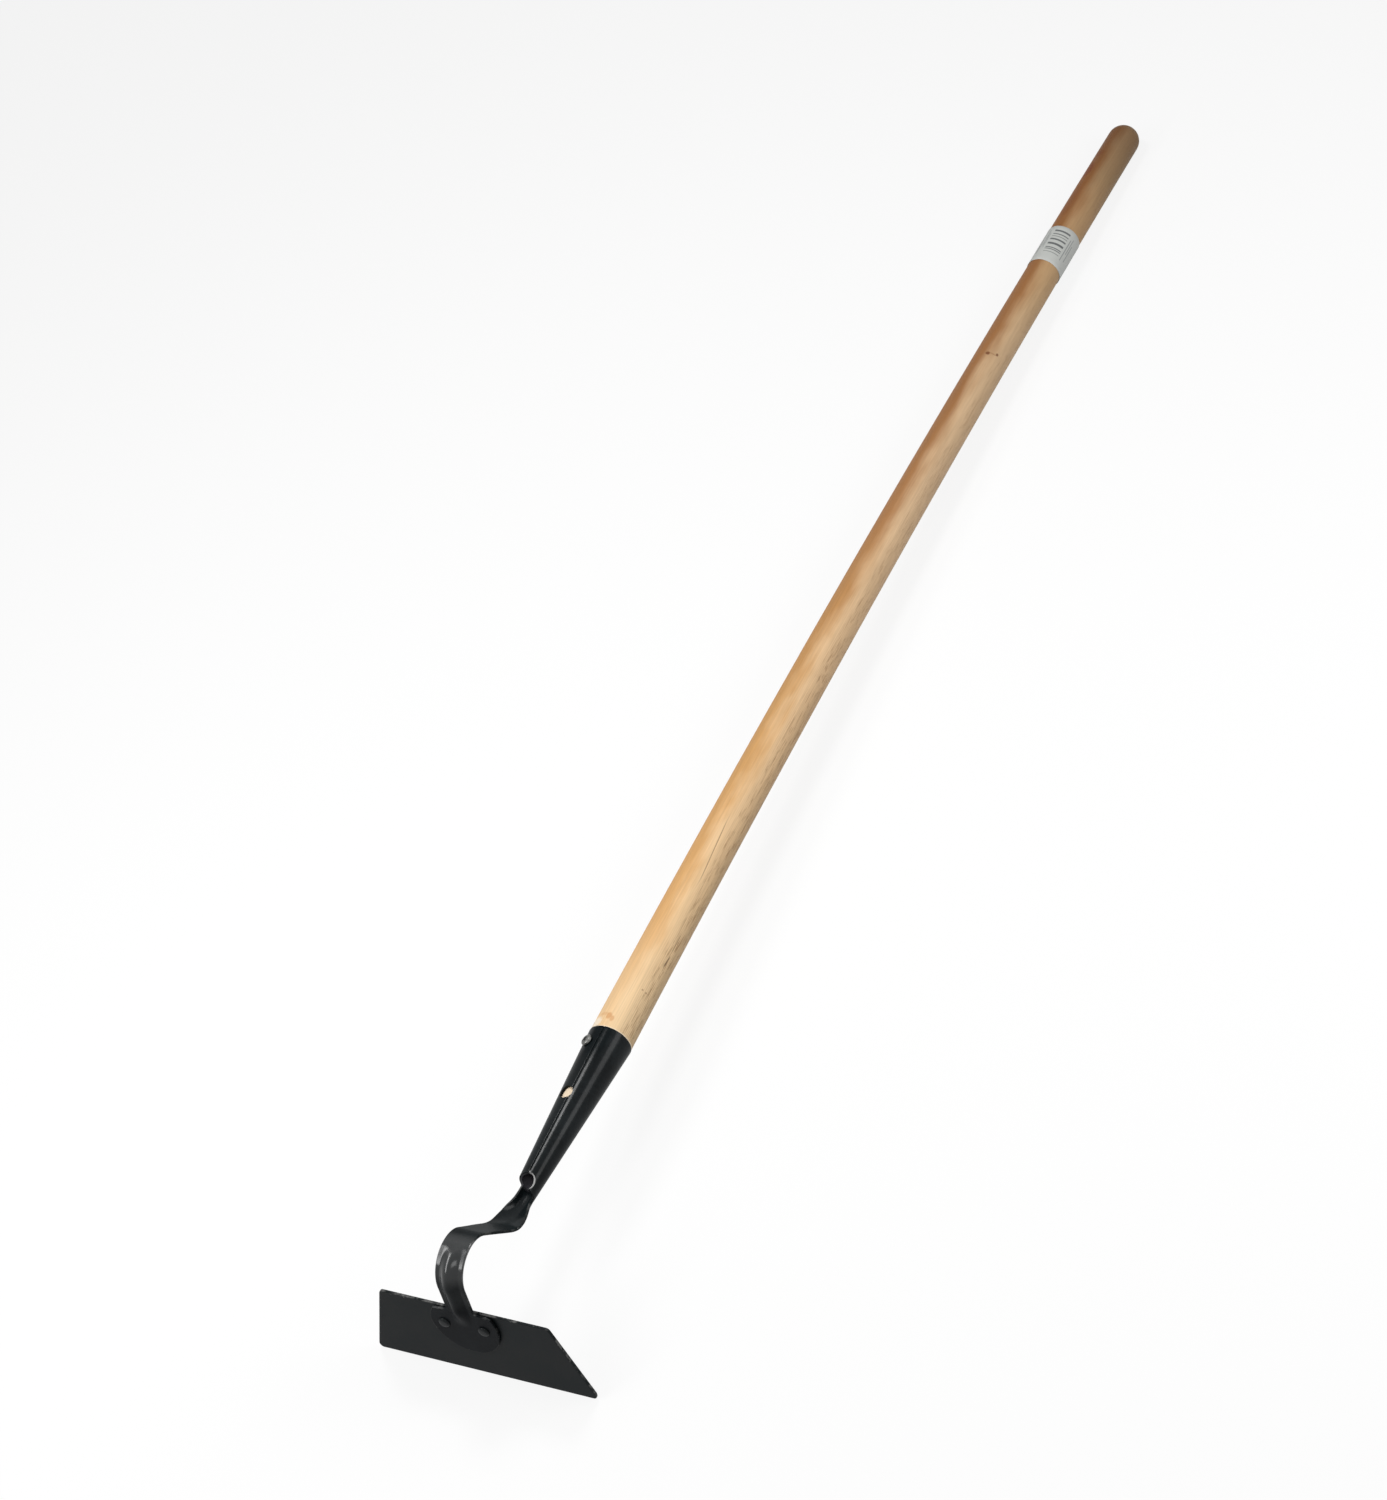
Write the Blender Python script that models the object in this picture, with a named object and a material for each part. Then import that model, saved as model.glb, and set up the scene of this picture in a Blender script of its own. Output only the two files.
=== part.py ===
"""Garden hoe: a riveted gooseneck head on a turned wooden handle, lying on the ground.

The pieces are drawn in the head's own frame, in metres. X runs up the socket's axis to the
grip, Y points to the side and Z forward, away from the user. Stations on the axis are
distances from the socket's mouth, and head stations count downwards, away from the grip.
At the end an empty lays the hoe down: cutting edge and grip on the floor, +Z up.
"""

import math

import bmesh
import bpy
from mathutils import Matrix, Vector

FIT = 0.0003  # clearance between two pieces that touch

# Handle
HANDLE_LENGTH = 1.200
HANDLE_IN_SOCKET = 0.120
HANDLE_MOUTH_DIAMETER = 0.0326
HANDLE_GRIP_DIAMETER = 0.0288
HANDLE_BOW = 0.0075  # how far the middle stands off the line between mouth and grip
TIP_FLAT_DIAMETER = 0.010

# Paper label round the handle
LABEL_START = 0.8755
LABEL_WIDTH = 0.047
PAPER = 0.0003

# Socket, rolled from the head's sheet
SHEET = 0.002
SOCKET_LENGTH = 0.143
SOCKET_MOUTH_DIAMETER = 0.0334
SOCKET_END_DIAMETER = 0.0162
SOCKET_LEAN = math.radians(1.9)  # of its axis, forward from the handle's
SEAM_GAP = 0.0008
RELIEF_START = 0.128  # the seam opens there into a relief cut
RELIEF_RADIUS = 0.007
LEFT_FLAP_SLOPE = 0.004  # length over which the left flap of the socket ends
RIGHT_FLAP_END = 0.1395  # the right flap reaches down past the relief cut
RIGHT_FLAP_SLOPE = 0.003
SIDE_HOLE_DIAMETER = 0.0106
SIDE_HOLE_STATION = 0.059
SIDE_HOLE_TURN = math.radians(17)  # from the seam towards +Y

# Screw through the socket into the handle
SCREW_STATION = 0.0135
SCREW_TURN = math.radians(30)
SCREW_SHANK_DIAMETER = 0.004
SCREW_SHANK_LENGTH = 0.016
SCREW_POINT_LENGTH = 0.004
SCREW_POINT_DIAMETER = 0.0006
SCREW_HEAD_DIAMETER = 0.009
SCREW_HEAD_HEIGHT = 0.0026
SCREW_RIM_HEIGHT = 0.0009  # the head is straight there, then domed

# Neck
PINCH_WIDTH = 0.0206  # of the strip where it leaves the socket
NECK_WIDTH = 0.0236  # at the lower bend
ARCH_WIDTH = 0.0209  # over the arch and down to the foot, drawn in by the ridge
PINCH_END = 0.136
FULL_WIDTH_START = 0.155
UNCURL_LENGTH = 0.032  # the strip goes from half a tube to flat over this length
LOWER_BEND_RADIUS = 0.0527
SLOPE = math.radians(50.2)
SLOPE_LENGTH = 0.0343
ARCH_RADIUS = 0.021
BLADE_ANGLE = math.radians(95)  # between the handle, towards the grip, and the blade
LEG_LENGTH = 0.0231  # from the arch to the blade's top edge
NECK_SIDE_SHIFT = -0.001  # the neck bends a little aside over the arch
RIDGE_HEIGHT = 0.004
RIDGE_WIDTH = 0.015
RIDGE_FULL_TURN = math.radians(60)  # from the arch's top, where it begins
RIDGE_END_DROP = 0.0157  # below the blade's top edge
RIDGE_FADE = 0.020

# Foot, a round plate on the blade
FOOT_DIAMETER = 0.0524
FOOT_CENTRE_DROP = 0.015
FOOT_FILLET = 0.002
FOOT_END_TURN = math.radians(8)  # its round outline ends in a short flat

# Blade
BLADE_HEIGHT = 0.0661
BLADE_TOP_WIDTH = 0.1318
BLADE_EDGE_WIDTH = 0.1751
BLADE_THICKNESS = 0.002
BLADE_CORNER_RADIUS = 0.0035
BLADE_SIDE_SHIFT = -0.0015
GRIND_HEIGHT = 0.005
EDGE_THICKNESS = 0.0008

# Rivets
RIVET_SPACING = 0.031
RIVET_SHANK_DIAMETER = 0.005
RIVET_HEAD_DIAMETER = 0.0085
RIVET_HEAD_HEIGHT = 0.0022
RIVET_TAIL_DIAMETER = 0.0075
RIVET_TAIL_HEIGHT = 0.0014

# Fineness of the round shapes
SHEET_COLUMNS = 28
HANDLE_SIDES = 32
SHAFT_ROWS = 14
TIP_STEPS = 8
FASTENER_SIDES = 20
CUTTER_SIDES = 28
DOME_STEPS = 4
DOME_END_TURN = math.radians(80)  # a dome ends there in a small flat
CORNER_STEPS = 4
SOCKET_STEP = 0.022  # along the straight socket
SLOPE_STEP = 0.012  # along the straight of the neck
ROW_STEP = 0.004  # along a bend of the sheet
ARCH_STEP = math.radians(9)
FOOT_STEP = math.radians(9)
FINE_STEP = 0.0008  # where the sheet's outline turns
FILLET_STEP = 0.0005
SHORTEST_STEP = 2e-5
SMOOTH_TURN = math.radians(40)  # edges that turn more stay sharp
CUTTER_REACH = 0.006  # a cutter stands past what it cuts

# Sizes that follow from the ones above
HANDLE_FREE = HANDLE_LENGTH - HANDLE_IN_SOCKET
BOW_RADIUS = HANDLE_FREE**2 / (8 * HANDLE_BOW)
TIP_RADIUS = HANDLE_GRIP_DIAMETER / 2
TIP_TURN = math.acos(TIP_FLAT_DIAMETER / HANDLE_GRIP_DIAMETER)
TIP_START = HANDLE_FREE - TIP_RADIUS * math.sin(TIP_TURN)
MOUTH_RADIUS = SOCKET_MOUTH_DIAMETER / 2
SOCKET_SLOPE = (SOCKET_MOUTH_DIAMETER - SOCKET_END_DIAMETER) / 2 / SOCKET_LENGTH
SOCKET_RISE = SOCKET_LEAN + math.atan(SOCKET_SLOPE)  # of its back wall
ARCH_TURN = SLOPE + math.pi - BLADE_ANGLE
BEND_START = SOCKET_LENGTH
BEND_END = BEND_START + LOWER_BEND_RADIUS * (SLOPE - SOCKET_RISE)
ARCH_START = BEND_END + SLOPE_LENGTH
ARCH_TOP = ARCH_START + ARCH_RADIUS * SLOPE
ARCH_END = ARCH_START + ARCH_RADIUS * ARCH_TURN
BLADE_TOP = ARCH_END + LEG_LENGTH
FOOT_CENTRE = BLADE_TOP + FOOT_CENTRE_DROP
FOOT_END = FOOT_CENTRE + FOOT_DIAMETER / 2 * math.cos(FOOT_END_TURN)


def smooth_step(value):
    """0 below 0, 1 above 1 and a smooth S between them."""
    value = min(1.0, max(0.0, value))
    return value * value * (3 - 2 * value)


def mix(first, second, share):
    return first + (second - first) * share


def socket_radius(station):
    """Outer radius of the socket at a distance below its mouth."""
    return MOUTH_RADIUS - SOCKET_SLOPE * station


def socket_point(station, around, depth=0.0):
    """Point on the socket's outer surface, or below it, at an angle from the seam."""
    radius = socket_radius(station) - depth
    forward = Vector((math.sin(SOCKET_LEAN), 0, math.cos(SOCKET_LEAN)))
    down = Vector((-math.cos(SOCKET_LEAN), 0, math.sin(SOCKET_LEAN)))
    return (
        down * station
        + forward * radius * math.cos(around)
        + Vector((0, radius * math.sin(around), 0))
    )


def head_path(station):
    """Point of the sheet's back face on the middle plane, and the tilt of its section there.

    The tilt is 0 where the sheet runs straight down the handle's axis, and a right angle
    where it would run forward.
    """
    if station <= BEND_START:
        return socket_point(station, math.pi), SOCKET_LEAN
    point = socket_point(BEND_START, math.pi)
    reach = min(station, BEND_END) - BEND_START
    angle = SOCKET_RISE + reach / LOWER_BEND_RADIUS
    point += LOWER_BEND_RADIUS * Vector(
        (math.sin(SOCKET_RISE) - math.sin(angle), 0, math.cos(SOCKET_RISE) - math.cos(angle))
    )
    if station <= BEND_END:
        return point, mix(SOCKET_LEAN, SLOPE, (angle - SOCKET_RISE) / (SLOPE - SOCKET_RISE))
    reach = min(station, ARCH_START) - BEND_END
    point += reach * Vector((-math.cos(SLOPE), 0, math.sin(SLOPE)))
    if station <= ARCH_START:
        return point, SLOPE
    angle = SLOPE - (min(station, ARCH_END) - ARCH_START) / ARCH_RADIUS
    point += ARCH_RADIUS * Vector(
        (math.sin(angle) - math.sin(SLOPE), 0, math.cos(angle) - math.cos(SLOPE))
    )
    if station > ARCH_END:
        point += (station - ARCH_END) * Vector((-math.cos(angle), 0, math.sin(angle)))
    return point, angle


def side_shift(station):
    """Sideways place of the sheet's middle line: aside on the neck, central on the foot."""
    over_arch = smooth_step((station - BEND_END) / (ARCH_TOP - BEND_END))
    on_foot = smooth_step((station - BLADE_TOP) / FOOT_CENTRE_DROP)
    return NECK_SIDE_SHIFT * over_arch * (1 - on_foot)


def curl(station):
    """Curvature of the sheet's section: the socket's own, then fading to flat."""
    if station <= SOCKET_LENGTH:
        return 1 / socket_radius(station)
    faded = smooth_step((station - SOCKET_LENGTH) / UNCURL_LENGTH)
    return (1 - faded) / socket_radius(SOCKET_LENGTH)


def strip_reach(station):
    """Half the width of the neck's strip, which is widest at the lower bend."""
    widened = smooth_step((station - PINCH_END) / (FULL_WIDTH_START - PINCH_END))
    drawn_in = smooth_step((station - BEND_END) / SLOPE_LENGTH)
    return mix(mix(PINCH_WIDTH, NECK_WIDTH, widened), ARCH_WIDTH, drawn_in) / 2


def foot_reach(station):
    """Half the width of the round foot."""
    away = min(abs(station - FOOT_CENTRE), FOOT_DIAMETER / 2)
    return math.sqrt((FOOT_DIAMETER / 2) ** 2 - away**2)


def edge_reach(station, side):
    """Distance along the section from the middle line to an edge: side 1 left, -1 right."""
    strip = strip_reach(station)
    if station >= BLADE_TOP:
        widened = smooth_step((station - BLADE_TOP) / FOOT_FILLET)
        return mix(strip, foot_reach(station), widened)
    if station >= SOCKET_LENGTH:
        return strip
    seam = math.pi * socket_radius(station) - SEAM_GAP / 2
    if station <= RELIEF_START:
        return seam
    if side > 0:
        return mix(seam, strip, smooth_step((station - RELIEF_START) / LEFT_FLAP_SLOPE))
    above = RELIEF_START + RELIEF_RADIUS - station
    relief = math.sqrt(max(0.0, RELIEF_RADIUS**2 - above**2))
    return mix(
        seam - relief, strip, smooth_step((station - RIGHT_FLAP_END) / RIGHT_FLAP_SLOPE)
    )


def ridge_height(station):
    """Height of the pressed ridge, which rises over the arch and dies out on the foot."""
    rising = smooth_step((station - ARCH_TOP) / (ARCH_RADIUS * RIDGE_FULL_TURN))
    falling = smooth_step((BLADE_TOP + RIDGE_END_DROP - station) / RIDGE_FADE)
    return RIDGE_HEIGHT * rising * falling


def sheet_section(station, depth):
    """Points across the sheet at one station, at a depth from its back face."""
    base, tilt = head_path(station)
    up = Vector((math.sin(tilt), 0, math.cos(tilt)))
    bend = curl(station)
    ridge = ridge_height(station)
    right = -edge_reach(station, -1)
    left = edge_reach(station, 1)
    points = []
    for column in range(SHEET_COLUMNS + 1):
        along = mix(right, left, column / SHEET_COLUMNS)
        angle = bend * along
        side = math.sin(angle) / bend if bend else along
        lift = (1 - math.cos(angle)) / bend if bend else 0.0
        steepness = math.sin(angle)
        if ridge and abs(along) < RIDGE_WIDTH / 2:
            phase = 2 * math.pi * along / RIDGE_WIDTH
            lift += ridge * (1 + math.cos(phase)) / 2
            steepness -= ridge * math.pi / RIDGE_WIDTH * math.sin(phase)
        across = Vector((math.cos(angle), steepness)).normalized()
        side -= across.y * depth
        lift += across.x * depth
        points.append(base + Vector((0, side + side_shift(station), 0)) + up * lift)
    return points


def spread(start, end, step):
    """Even stations from start to end, both included, at most a step apart."""
    count = max(1, math.ceil((end - start) / step - 1e-9))
    return [mix(start, end, index / count) for index in range(count + 1)]


def sheet_stations():
    """Stations of the sheet's rows: far apart where it is straight, close where it turns."""
    fillet_end = BLADE_TOP + FOOT_FILLET
    foot = [
        FOOT_CENTRE - FOOT_DIAMETER / 2 * math.cos(turn)
        for turn in spread(0.0, math.pi - FOOT_END_TURN, FOOT_STEP)
    ]
    rows = spread(0.0, RELIEF_START, SOCKET_STEP)
    rows += spread(RELIEF_START, SOCKET_LENGTH, FINE_STEP)
    rows += spread(SOCKET_LENGTH, BEND_END, ROW_STEP)
    rows += spread(BEND_END, ARCH_START, SLOPE_STEP)
    rows += spread(ARCH_START, ARCH_END, ARCH_RADIUS * ARCH_STEP)
    rows += spread(ARCH_END, BLADE_TOP, ROW_STEP)
    rows += spread(BLADE_TOP, fillet_end, FILLET_STEP)
    rows += [row for row in foot if row > fillet_end + FINE_STEP]
    kept = rows[:1]
    for row in rows[1:]:
        if row - kept[-1] > SHORTEST_STEP:
            kept.append(row)
    return kept


def new_object(name, mesh_data, material):
    """Turns a bmesh into a named object with its own material."""
    bmesh.ops.recalc_face_normals(mesh_data, faces=mesh_data.faces)
    mesh = bpy.data.meshes.new(name)
    mesh_data.to_mesh(mesh)
    mesh_data.free()
    mesh.shade_smooth()
    mesh.set_sharp_from_angle(angle=SMOOTH_TURN)
    mesh.materials.append(material)
    made = bpy.data.objects.new(name, mesh)
    bpy.context.scene.collection.objects.link(made)
    return made


def make_material(name, colour, roughness, metallic):
    material = bpy.data.materials.new(name)
    material.use_nodes = True
    shader = material.node_tree.nodes["Principled BSDF"]
    shader.inputs["Base Color"].default_value = (*colour, 1.0)
    shader.inputs["Roughness"].default_value = roughness
    shader.inputs["Metallic"].default_value = metallic
    return material


def loft(rings):
    """A closed solid through rings of points, capped at both ends."""
    mesh_data = bmesh.new()
    rows = [[mesh_data.verts.new(point) for point in ring] for ring in rings]
    for row, following in zip(rows, rows[1:]):
        for index in range(len(row)):
            after = (index + 1) % len(row)
            mesh_data.faces.new(
                (row[index], row[after], following[after], following[index])
            )
    mesh_data.faces.new(rows[0][::-1])
    mesh_data.faces.new(rows[-1])
    return mesh_data


def ring(centre, first, second, radius, sides):
    """Points of a circle spanned by two unit vectors."""
    points = []
    for index in range(sides):
        angle = 2 * math.pi * index / sides
        points.append(centre + radius * (first * math.cos(angle) + second * math.sin(angle)))
    return points


def turned(name, profile, placing, sides, material):
    """A solid of revolution round its local Z, from (radius, height) pairs."""
    rings = [
        ring(Vector((0, 0, height)), Vector((1, 0, 0)), Vector((0, 1, 0)), radius, sides)
        for radius, height in profile
    ]
    made = new_object(name, loft(rings), material)
    made.matrix_world = placing
    return made


def subtract(target, cutter):
    """Takes a cutter's shape out of a solid."""
    cutter.hide_render = True
    cutter.display_type = "WIRE"
    modifier = target.modifiers.new(cutter.name, "BOOLEAN")
    modifier.operation = "DIFFERENCE"
    modifier.solver = "EXACT"
    modifier.object = cutter


def drill(target, radius, depth, placing):
    """Drills a round hole down the placing's Z, from above its origin to a depth below it."""
    profile = [(radius, -depth), (radius, CUTTER_REACH)]
    subtract(target, turned(target.name + "_drill", profile, placing, CUTTER_SIDES, None))


def placing_along(origin, direction, side):
    """A frame at a point, with its Z along a direction and its Y near a side vector."""
    axis = direction.normalized()
    first = side.cross(axis).normalized()
    second = axis.cross(first)
    turn = Matrix((first, second, axis)).transposed().to_4x4()
    return Matrix.Translation(origin) @ turn


def handle_axis(distance):
    """Point and direction of the handle's centre line at a distance above the mouth."""
    turn = distance / BOW_RADIUS
    point = BOW_RADIUS * Vector((math.sin(turn), math.cos(turn) - 1, 0))
    return point, Vector((math.cos(turn), -math.sin(turn), 0))


def handle_radius(distance):
    """Radius of the free part of the handle."""
    share = distance / HANDLE_FREE
    return mix(HANDLE_MOUTH_DIAMETER, HANDLE_GRIP_DIAMETER, share) / 2


def handle_ring(distance, radius):
    centre, direction = handle_axis(distance)
    forward = Vector((0, 0, 1))
    return ring(centre, forward, direction.cross(forward), radius, HANDLE_SIDES)


def ring_in_socket(station, radius):
    centre = socket_point(station, 0.0, socket_radius(station))
    forward = Vector((math.sin(SOCKET_LEAN), 0, math.cos(SOCKET_LEAN)))
    up_axis = Vector((math.cos(SOCKET_LEAN), 0, -math.sin(SOCKET_LEAN)))
    return ring(centre, forward, up_axis.cross(forward), radius, HANDLE_SIDES)


def make_handle(material):
    """The wooden handle: cone in the socket, shoulder on its rim, bowed shaft, round tip."""
    wall = SHEET + FIT
    rings = [
        ring_in_socket(HANDLE_IN_SOCKET, socket_radius(HANDLE_IN_SOCKET) - wall),
        ring_in_socket(-FIT, socket_radius(0.0) - wall),
        ring_in_socket(-FIT, HANDLE_MOUTH_DIAMETER / 2),
    ]
    for distance in spread(0.0, TIP_START, TIP_START / SHAFT_ROWS)[1:]:
        rings.append(handle_ring(distance, handle_radius(distance)))
    for step in range(1, TIP_STEPS + 1):
        turn = TIP_TURN * step / TIP_STEPS
        distance = TIP_START + TIP_RADIUS * math.sin(turn)
        rings.append(handle_ring(distance, TIP_RADIUS * math.cos(turn)))
    handle = new_object("handle", loft(rings), material)
    depth = FIT + SCREW_SHANK_LENGTH + SCREW_POINT_LENGTH
    drill(handle, SCREW_SHANK_DIAMETER / 2 + FIT, depth, screw_placing())
    return handle


def make_label(material):
    """The paper band round the handle."""
    rings = []
    for depth, stations in ((FIT, (0.0, 0.5, 1.0)), (FIT + PAPER, (1.0, 0.5, 0.0))):
        for share in stations:
            distance = LABEL_START + LABEL_WIDTH * share
            rings.append(handle_ring(distance, handle_radius(distance) + depth))
    mesh_data = bmesh.new()
    rows = [[mesh_data.verts.new(point) for point in points] for points in rings]
    for row, following in zip(rows, rows[1:] + rows[:1]):
        for index in range(HANDLE_SIDES):
            after = (index + 1) % HANDLE_SIDES
            mesh_data.faces.new(
                (row[index], row[after], following[after], following[index])
            )
    return new_object("label_band", mesh_data, material)


def make_sheet(material):
    """The head pressing: socket, neck and foot in one sheet of even thickness."""
    stations = sheet_stations()
    mesh_data = bmesh.new()
    back = []
    front = []
    for station in stations:
        back.append([mesh_data.verts.new(p) for p in sheet_section(station, 0.0)])
        front.append([mesh_data.verts.new(p) for p in sheet_section(station, SHEET)])
    last = len(stations) - 1
    for row in range(last):
        for column in range(SHEET_COLUMNS):
            for side in (back, front):
                mesh_data.faces.new(
                    (
                        side[row][column],
                        side[row][column + 1],
                        side[row + 1][column + 1],
                        side[row + 1][column],
                    )
                )
        for column in (0, SHEET_COLUMNS):
            mesh_data.faces.new(
                (
                    back[row][column],
                    back[row + 1][column],
                    front[row + 1][column],
                    front[row][column],
                )
            )
    for row in (0, last):
        for column in range(SHEET_COLUMNS):
            mesh_data.faces.new(
                (
                    back[row][column],
                    back[row][column + 1],
                    front[row][column + 1],
                    front[row][column],
                )
            )
    sheet = new_object("socket_and_neck", mesh_data, material)
    past_wall = SHEET + CUTTER_REACH / 2
    drill(sheet, SCREW_SHANK_DIAMETER / 2 + FIT, past_wall, screw_placing())
    side_hole = socket_placing(SIDE_HOLE_STATION, SIDE_HOLE_TURN)
    drill(sheet, SIDE_HOLE_DIAMETER / 2, past_wall, side_hole)
    drill_for_rivets(sheet)
    return sheet


def drill_for_rivets(target):
    """The two rivet holes, through the foot and the blade."""
    depth = BLADE_THICKNESS + CUTTER_REACH
    for side in (1, -1):
        drill(target, RIVET_SHANK_DIAMETER / 2 + FIT, depth, rivet_placing(side))


def socket_placing(station, around):
    """Frame on the socket's surface, its Z square to the surface and its Y along it."""
    origin = socket_point(station, around)
    outward = origin - socket_point(station, around, socket_radius(station))
    along = socket_point(0.0, around) - origin
    side = along.cross(outward)
    return placing_along(origin, side.cross(along), along)


def screw_placing():
    return socket_placing(SCREW_STATION, SCREW_TURN)


def blade_frame(drop, side, height):
    """A point given down the blade from its top edge, sideways, and out from the foot's back."""
    top, tilt = head_path(BLADE_TOP)
    down = Vector((-math.cos(tilt), 0, math.sin(tilt)))
    out = Vector((math.sin(tilt), 0, math.cos(tilt)))
    return top + drop * down + Vector((0, side, 0)) + height * out


def rivet_placing(side):
    origin = blade_frame(FOOT_CENTRE_DROP, side * RIVET_SPACING / 2, 0.0)
    return placing_along(origin, blade_frame(0, 0, 1) - blade_frame(0, 0, 0), Vector((0, 1, 0)))


def dome(base_radius, base_height, rise):
    """Profile of a low dome, from its rim up to a small flat on top."""
    profile = []
    for step in range(DOME_STEPS + 1):
        turn = DOME_END_TURN * step / DOME_STEPS
        profile.append((base_radius * math.cos(turn), base_height + rise * math.sin(turn)))
    return profile


def make_rivet(name, side, material):
    """A rivet through foot and blade: domed head in front, flatter tail behind."""
    shank = RIVET_SHANK_DIAMETER / 2
    head = SHEET + FIT
    tail = -FIT - BLADE_THICKNESS - FIT
    tail_dome = dome(RIVET_TAIL_DIAMETER / 2, -tail, RIVET_TAIL_HEIGHT)
    profile = [(radius, -height) for radius, height in reversed(tail_dome)]
    profile += [(shank, tail), (shank, head)]
    profile += dome(RIVET_HEAD_DIAMETER / 2, head, RIVET_HEAD_HEIGHT)
    return turned(name, profile, rivet_placing(side), FASTENER_SIDES, material)


def make_screw(material):
    """A pan head screw: head on the socket, shank through its hole into the wood."""
    shank = SCREW_SHANK_DIAMETER / 2
    head = SCREW_HEAD_DIAMETER / 2
    profile = [
        (SCREW_POINT_DIAMETER / 2, -SCREW_SHANK_LENGTH - SCREW_POINT_LENGTH),
        (shank, -SCREW_SHANK_LENGTH),
        (shank, FIT),
        (head, FIT),
    ]
    profile += dome(head, FIT + SCREW_RIM_HEIGHT, SCREW_HEAD_HEIGHT - SCREW_RIM_HEIGHT)
    return turned("socket_screw", profile, screw_placing(), FASTENER_SIDES, material)


def rounded_outline(corners, radius):
    """The outline through the corners, each replaced by an arc."""
    points = []
    for index, corner in enumerate(corners):
        before = (corners[index - 1] - corner).normalized()
        after = (corners[(index + 1) % len(corners)] - corner).normalized()
        half = before.angle(after) / 2
        centre = corner + (before + after).normalized() * radius / math.sin(half)
        start = corner + before * radius / math.tan(half) - centre
        end = corner + after * radius / math.tan(half) - centre
        for step in range(CORNER_STEPS + 1):
            share = step / CORNER_STEPS
            points.append(centre + start.lerp(end, share).normalized() * radius)
    return points


def blade_corners():
    """Corners of the blade's outline as (drop, side), from its top edge round."""
    half_top = BLADE_TOP_WIDTH / 2
    half_edge = BLADE_EDGE_WIDTH / 2
    return [
        Vector((0, half_top)),
        Vector((BLADE_HEIGHT, half_edge)),
        Vector((BLADE_HEIGHT, -half_edge)),
        Vector((0, -half_top)),
    ]


def make_blade(material):
    """The trapezoid blade, ground thin along its cutting edge on the side of the user."""
    outline = rounded_outline(blade_corners(), BLADE_CORNER_RADIUS)
    mesh_data = bmesh.new()
    front = -FIT
    back = front - BLADE_THICKNESS
    rows = []
    for height in (front, back):
        rows.append([(drop, side + BLADE_SIDE_SHIFT, height) for drop, side in outline])
    verts = [[mesh_data.verts.new(blade_frame(*point)) for point in row] for row in rows]
    count = len(outline)
    for index in range(count):
        after = (index + 1) % count
        mesh_data.faces.new(
            (verts[0][index], verts[0][after], verts[1][after], verts[1][index])
        )
    mesh_data.faces.new(verts[0])
    mesh_data.faces.new(verts[1][::-1])
    blade = new_object("blade", mesh_data, material)
    drill_for_rivets(blade)
    subtract(blade, make_grind_cutter())
    return blade


def make_grind_cutter():
    """A wedge behind the cutting edge that leaves it thin."""
    reach = BLADE_EDGE_WIDTH / 2 + CUTTER_REACH
    edge = -FIT - EDGE_THICKNESS
    back = -FIT - BLADE_THICKNESS
    fall = (edge - back) / GRIND_HEIGHT
    past = CUTTER_REACH / 2
    section = [
        (BLADE_HEIGHT - GRIND_HEIGHT - past, back - past * fall),
        (BLADE_HEIGHT + past, edge + past * fall),
        (BLADE_HEIGHT + past, back - CUTTER_REACH),
    ]
    rings = [
        [blade_frame(drop, side + BLADE_SIDE_SHIFT, height) for drop, height in section]
        for side in (-reach, reach)
    ]
    return new_object("grind_cutter", loft(rings), None)


def floor_slope():
    """Angle of the floor under the hoe: it touches the cutting edge and the rounded grip."""
    edge = blade_frame(BLADE_HEIGHT, 0, -FIT)
    centre, _ = handle_axis(TIP_START)
    across = centre - edge
    reach = math.hypot(across.x, across.z)
    return math.atan2(across.z, across.x) - math.asin(TIP_RADIUS / reach)


def lay_down(pieces):
    """Lays the pieces on the floor, with the origin under the middle of their box."""
    frame = bpy.data.objects.new("hoe_frame", None)
    bpy.context.scene.collection.objects.link(frame)
    frame.rotation_euler = (0, floor_slope(), 0)
    for piece in bpy.context.scene.collection.objects:
        if piece != frame:
            piece.parent = frame
    bpy.context.view_layer.update()
    graph = bpy.context.evaluated_depsgraph_get()
    points = []
    for piece in pieces:
        mesh = piece.evaluated_get(graph).to_mesh()
        points += [piece.matrix_world @ vertex.co for vertex in mesh.vertices]
    lowest = Vector([min(point[axis] for point in points) for axis in range(3)])
    highest = Vector([max(point[axis] for point in points) for axis in range(3)])
    middle = (lowest + highest) / 2
    frame.location = (-middle.x, -middle.y, -lowest.z)
    bpy.context.view_layer.update()


def clear_scene():
    for existing in list(bpy.data.objects):
        bpy.data.objects.remove(existing, do_unlink=True)


def main():
    clear_scene()
    bpy.context.scene.unit_settings.scale_length = 1.0
    black_paint = make_material("black_paint", (0.020, 0.024, 0.026), 0.38, 0.0)
    wood = make_material("ash_wood", (0.62, 0.42, 0.23), 0.55, 0.0)
    zinc = make_material("zinc_plated_steel", (0.42, 0.42, 0.40), 0.35, 1.0)
    paper = make_material("white_paper", (0.78, 0.78, 0.77), 0.60, 0.0)
    pieces = [
        make_handle(wood),
        make_label(paper),
        make_sheet(black_paint),
        make_screw(zinc),
        make_blade(black_paint),
        make_rivet("rivet_left", 1, black_paint),
        make_rivet("rivet_right", -1, black_paint),
    ]
    lay_down(pieces)


main()
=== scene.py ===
"""Looks of a garden hoe: a black gooseneck head, riveted and rolled, on a turned wooden handle.

Places are in metres. The floor is z = 0, +X runs to the grip and +Y across the blade. The
pieces are drawn in the head's own frame, as the frame's solids are: its origin is the middle
of the socket's mouth, X runs up the handle, Y to the side and Z forward. A station counts
down the head from the mouth, and a distance counts up the handle from it.
"""

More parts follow.
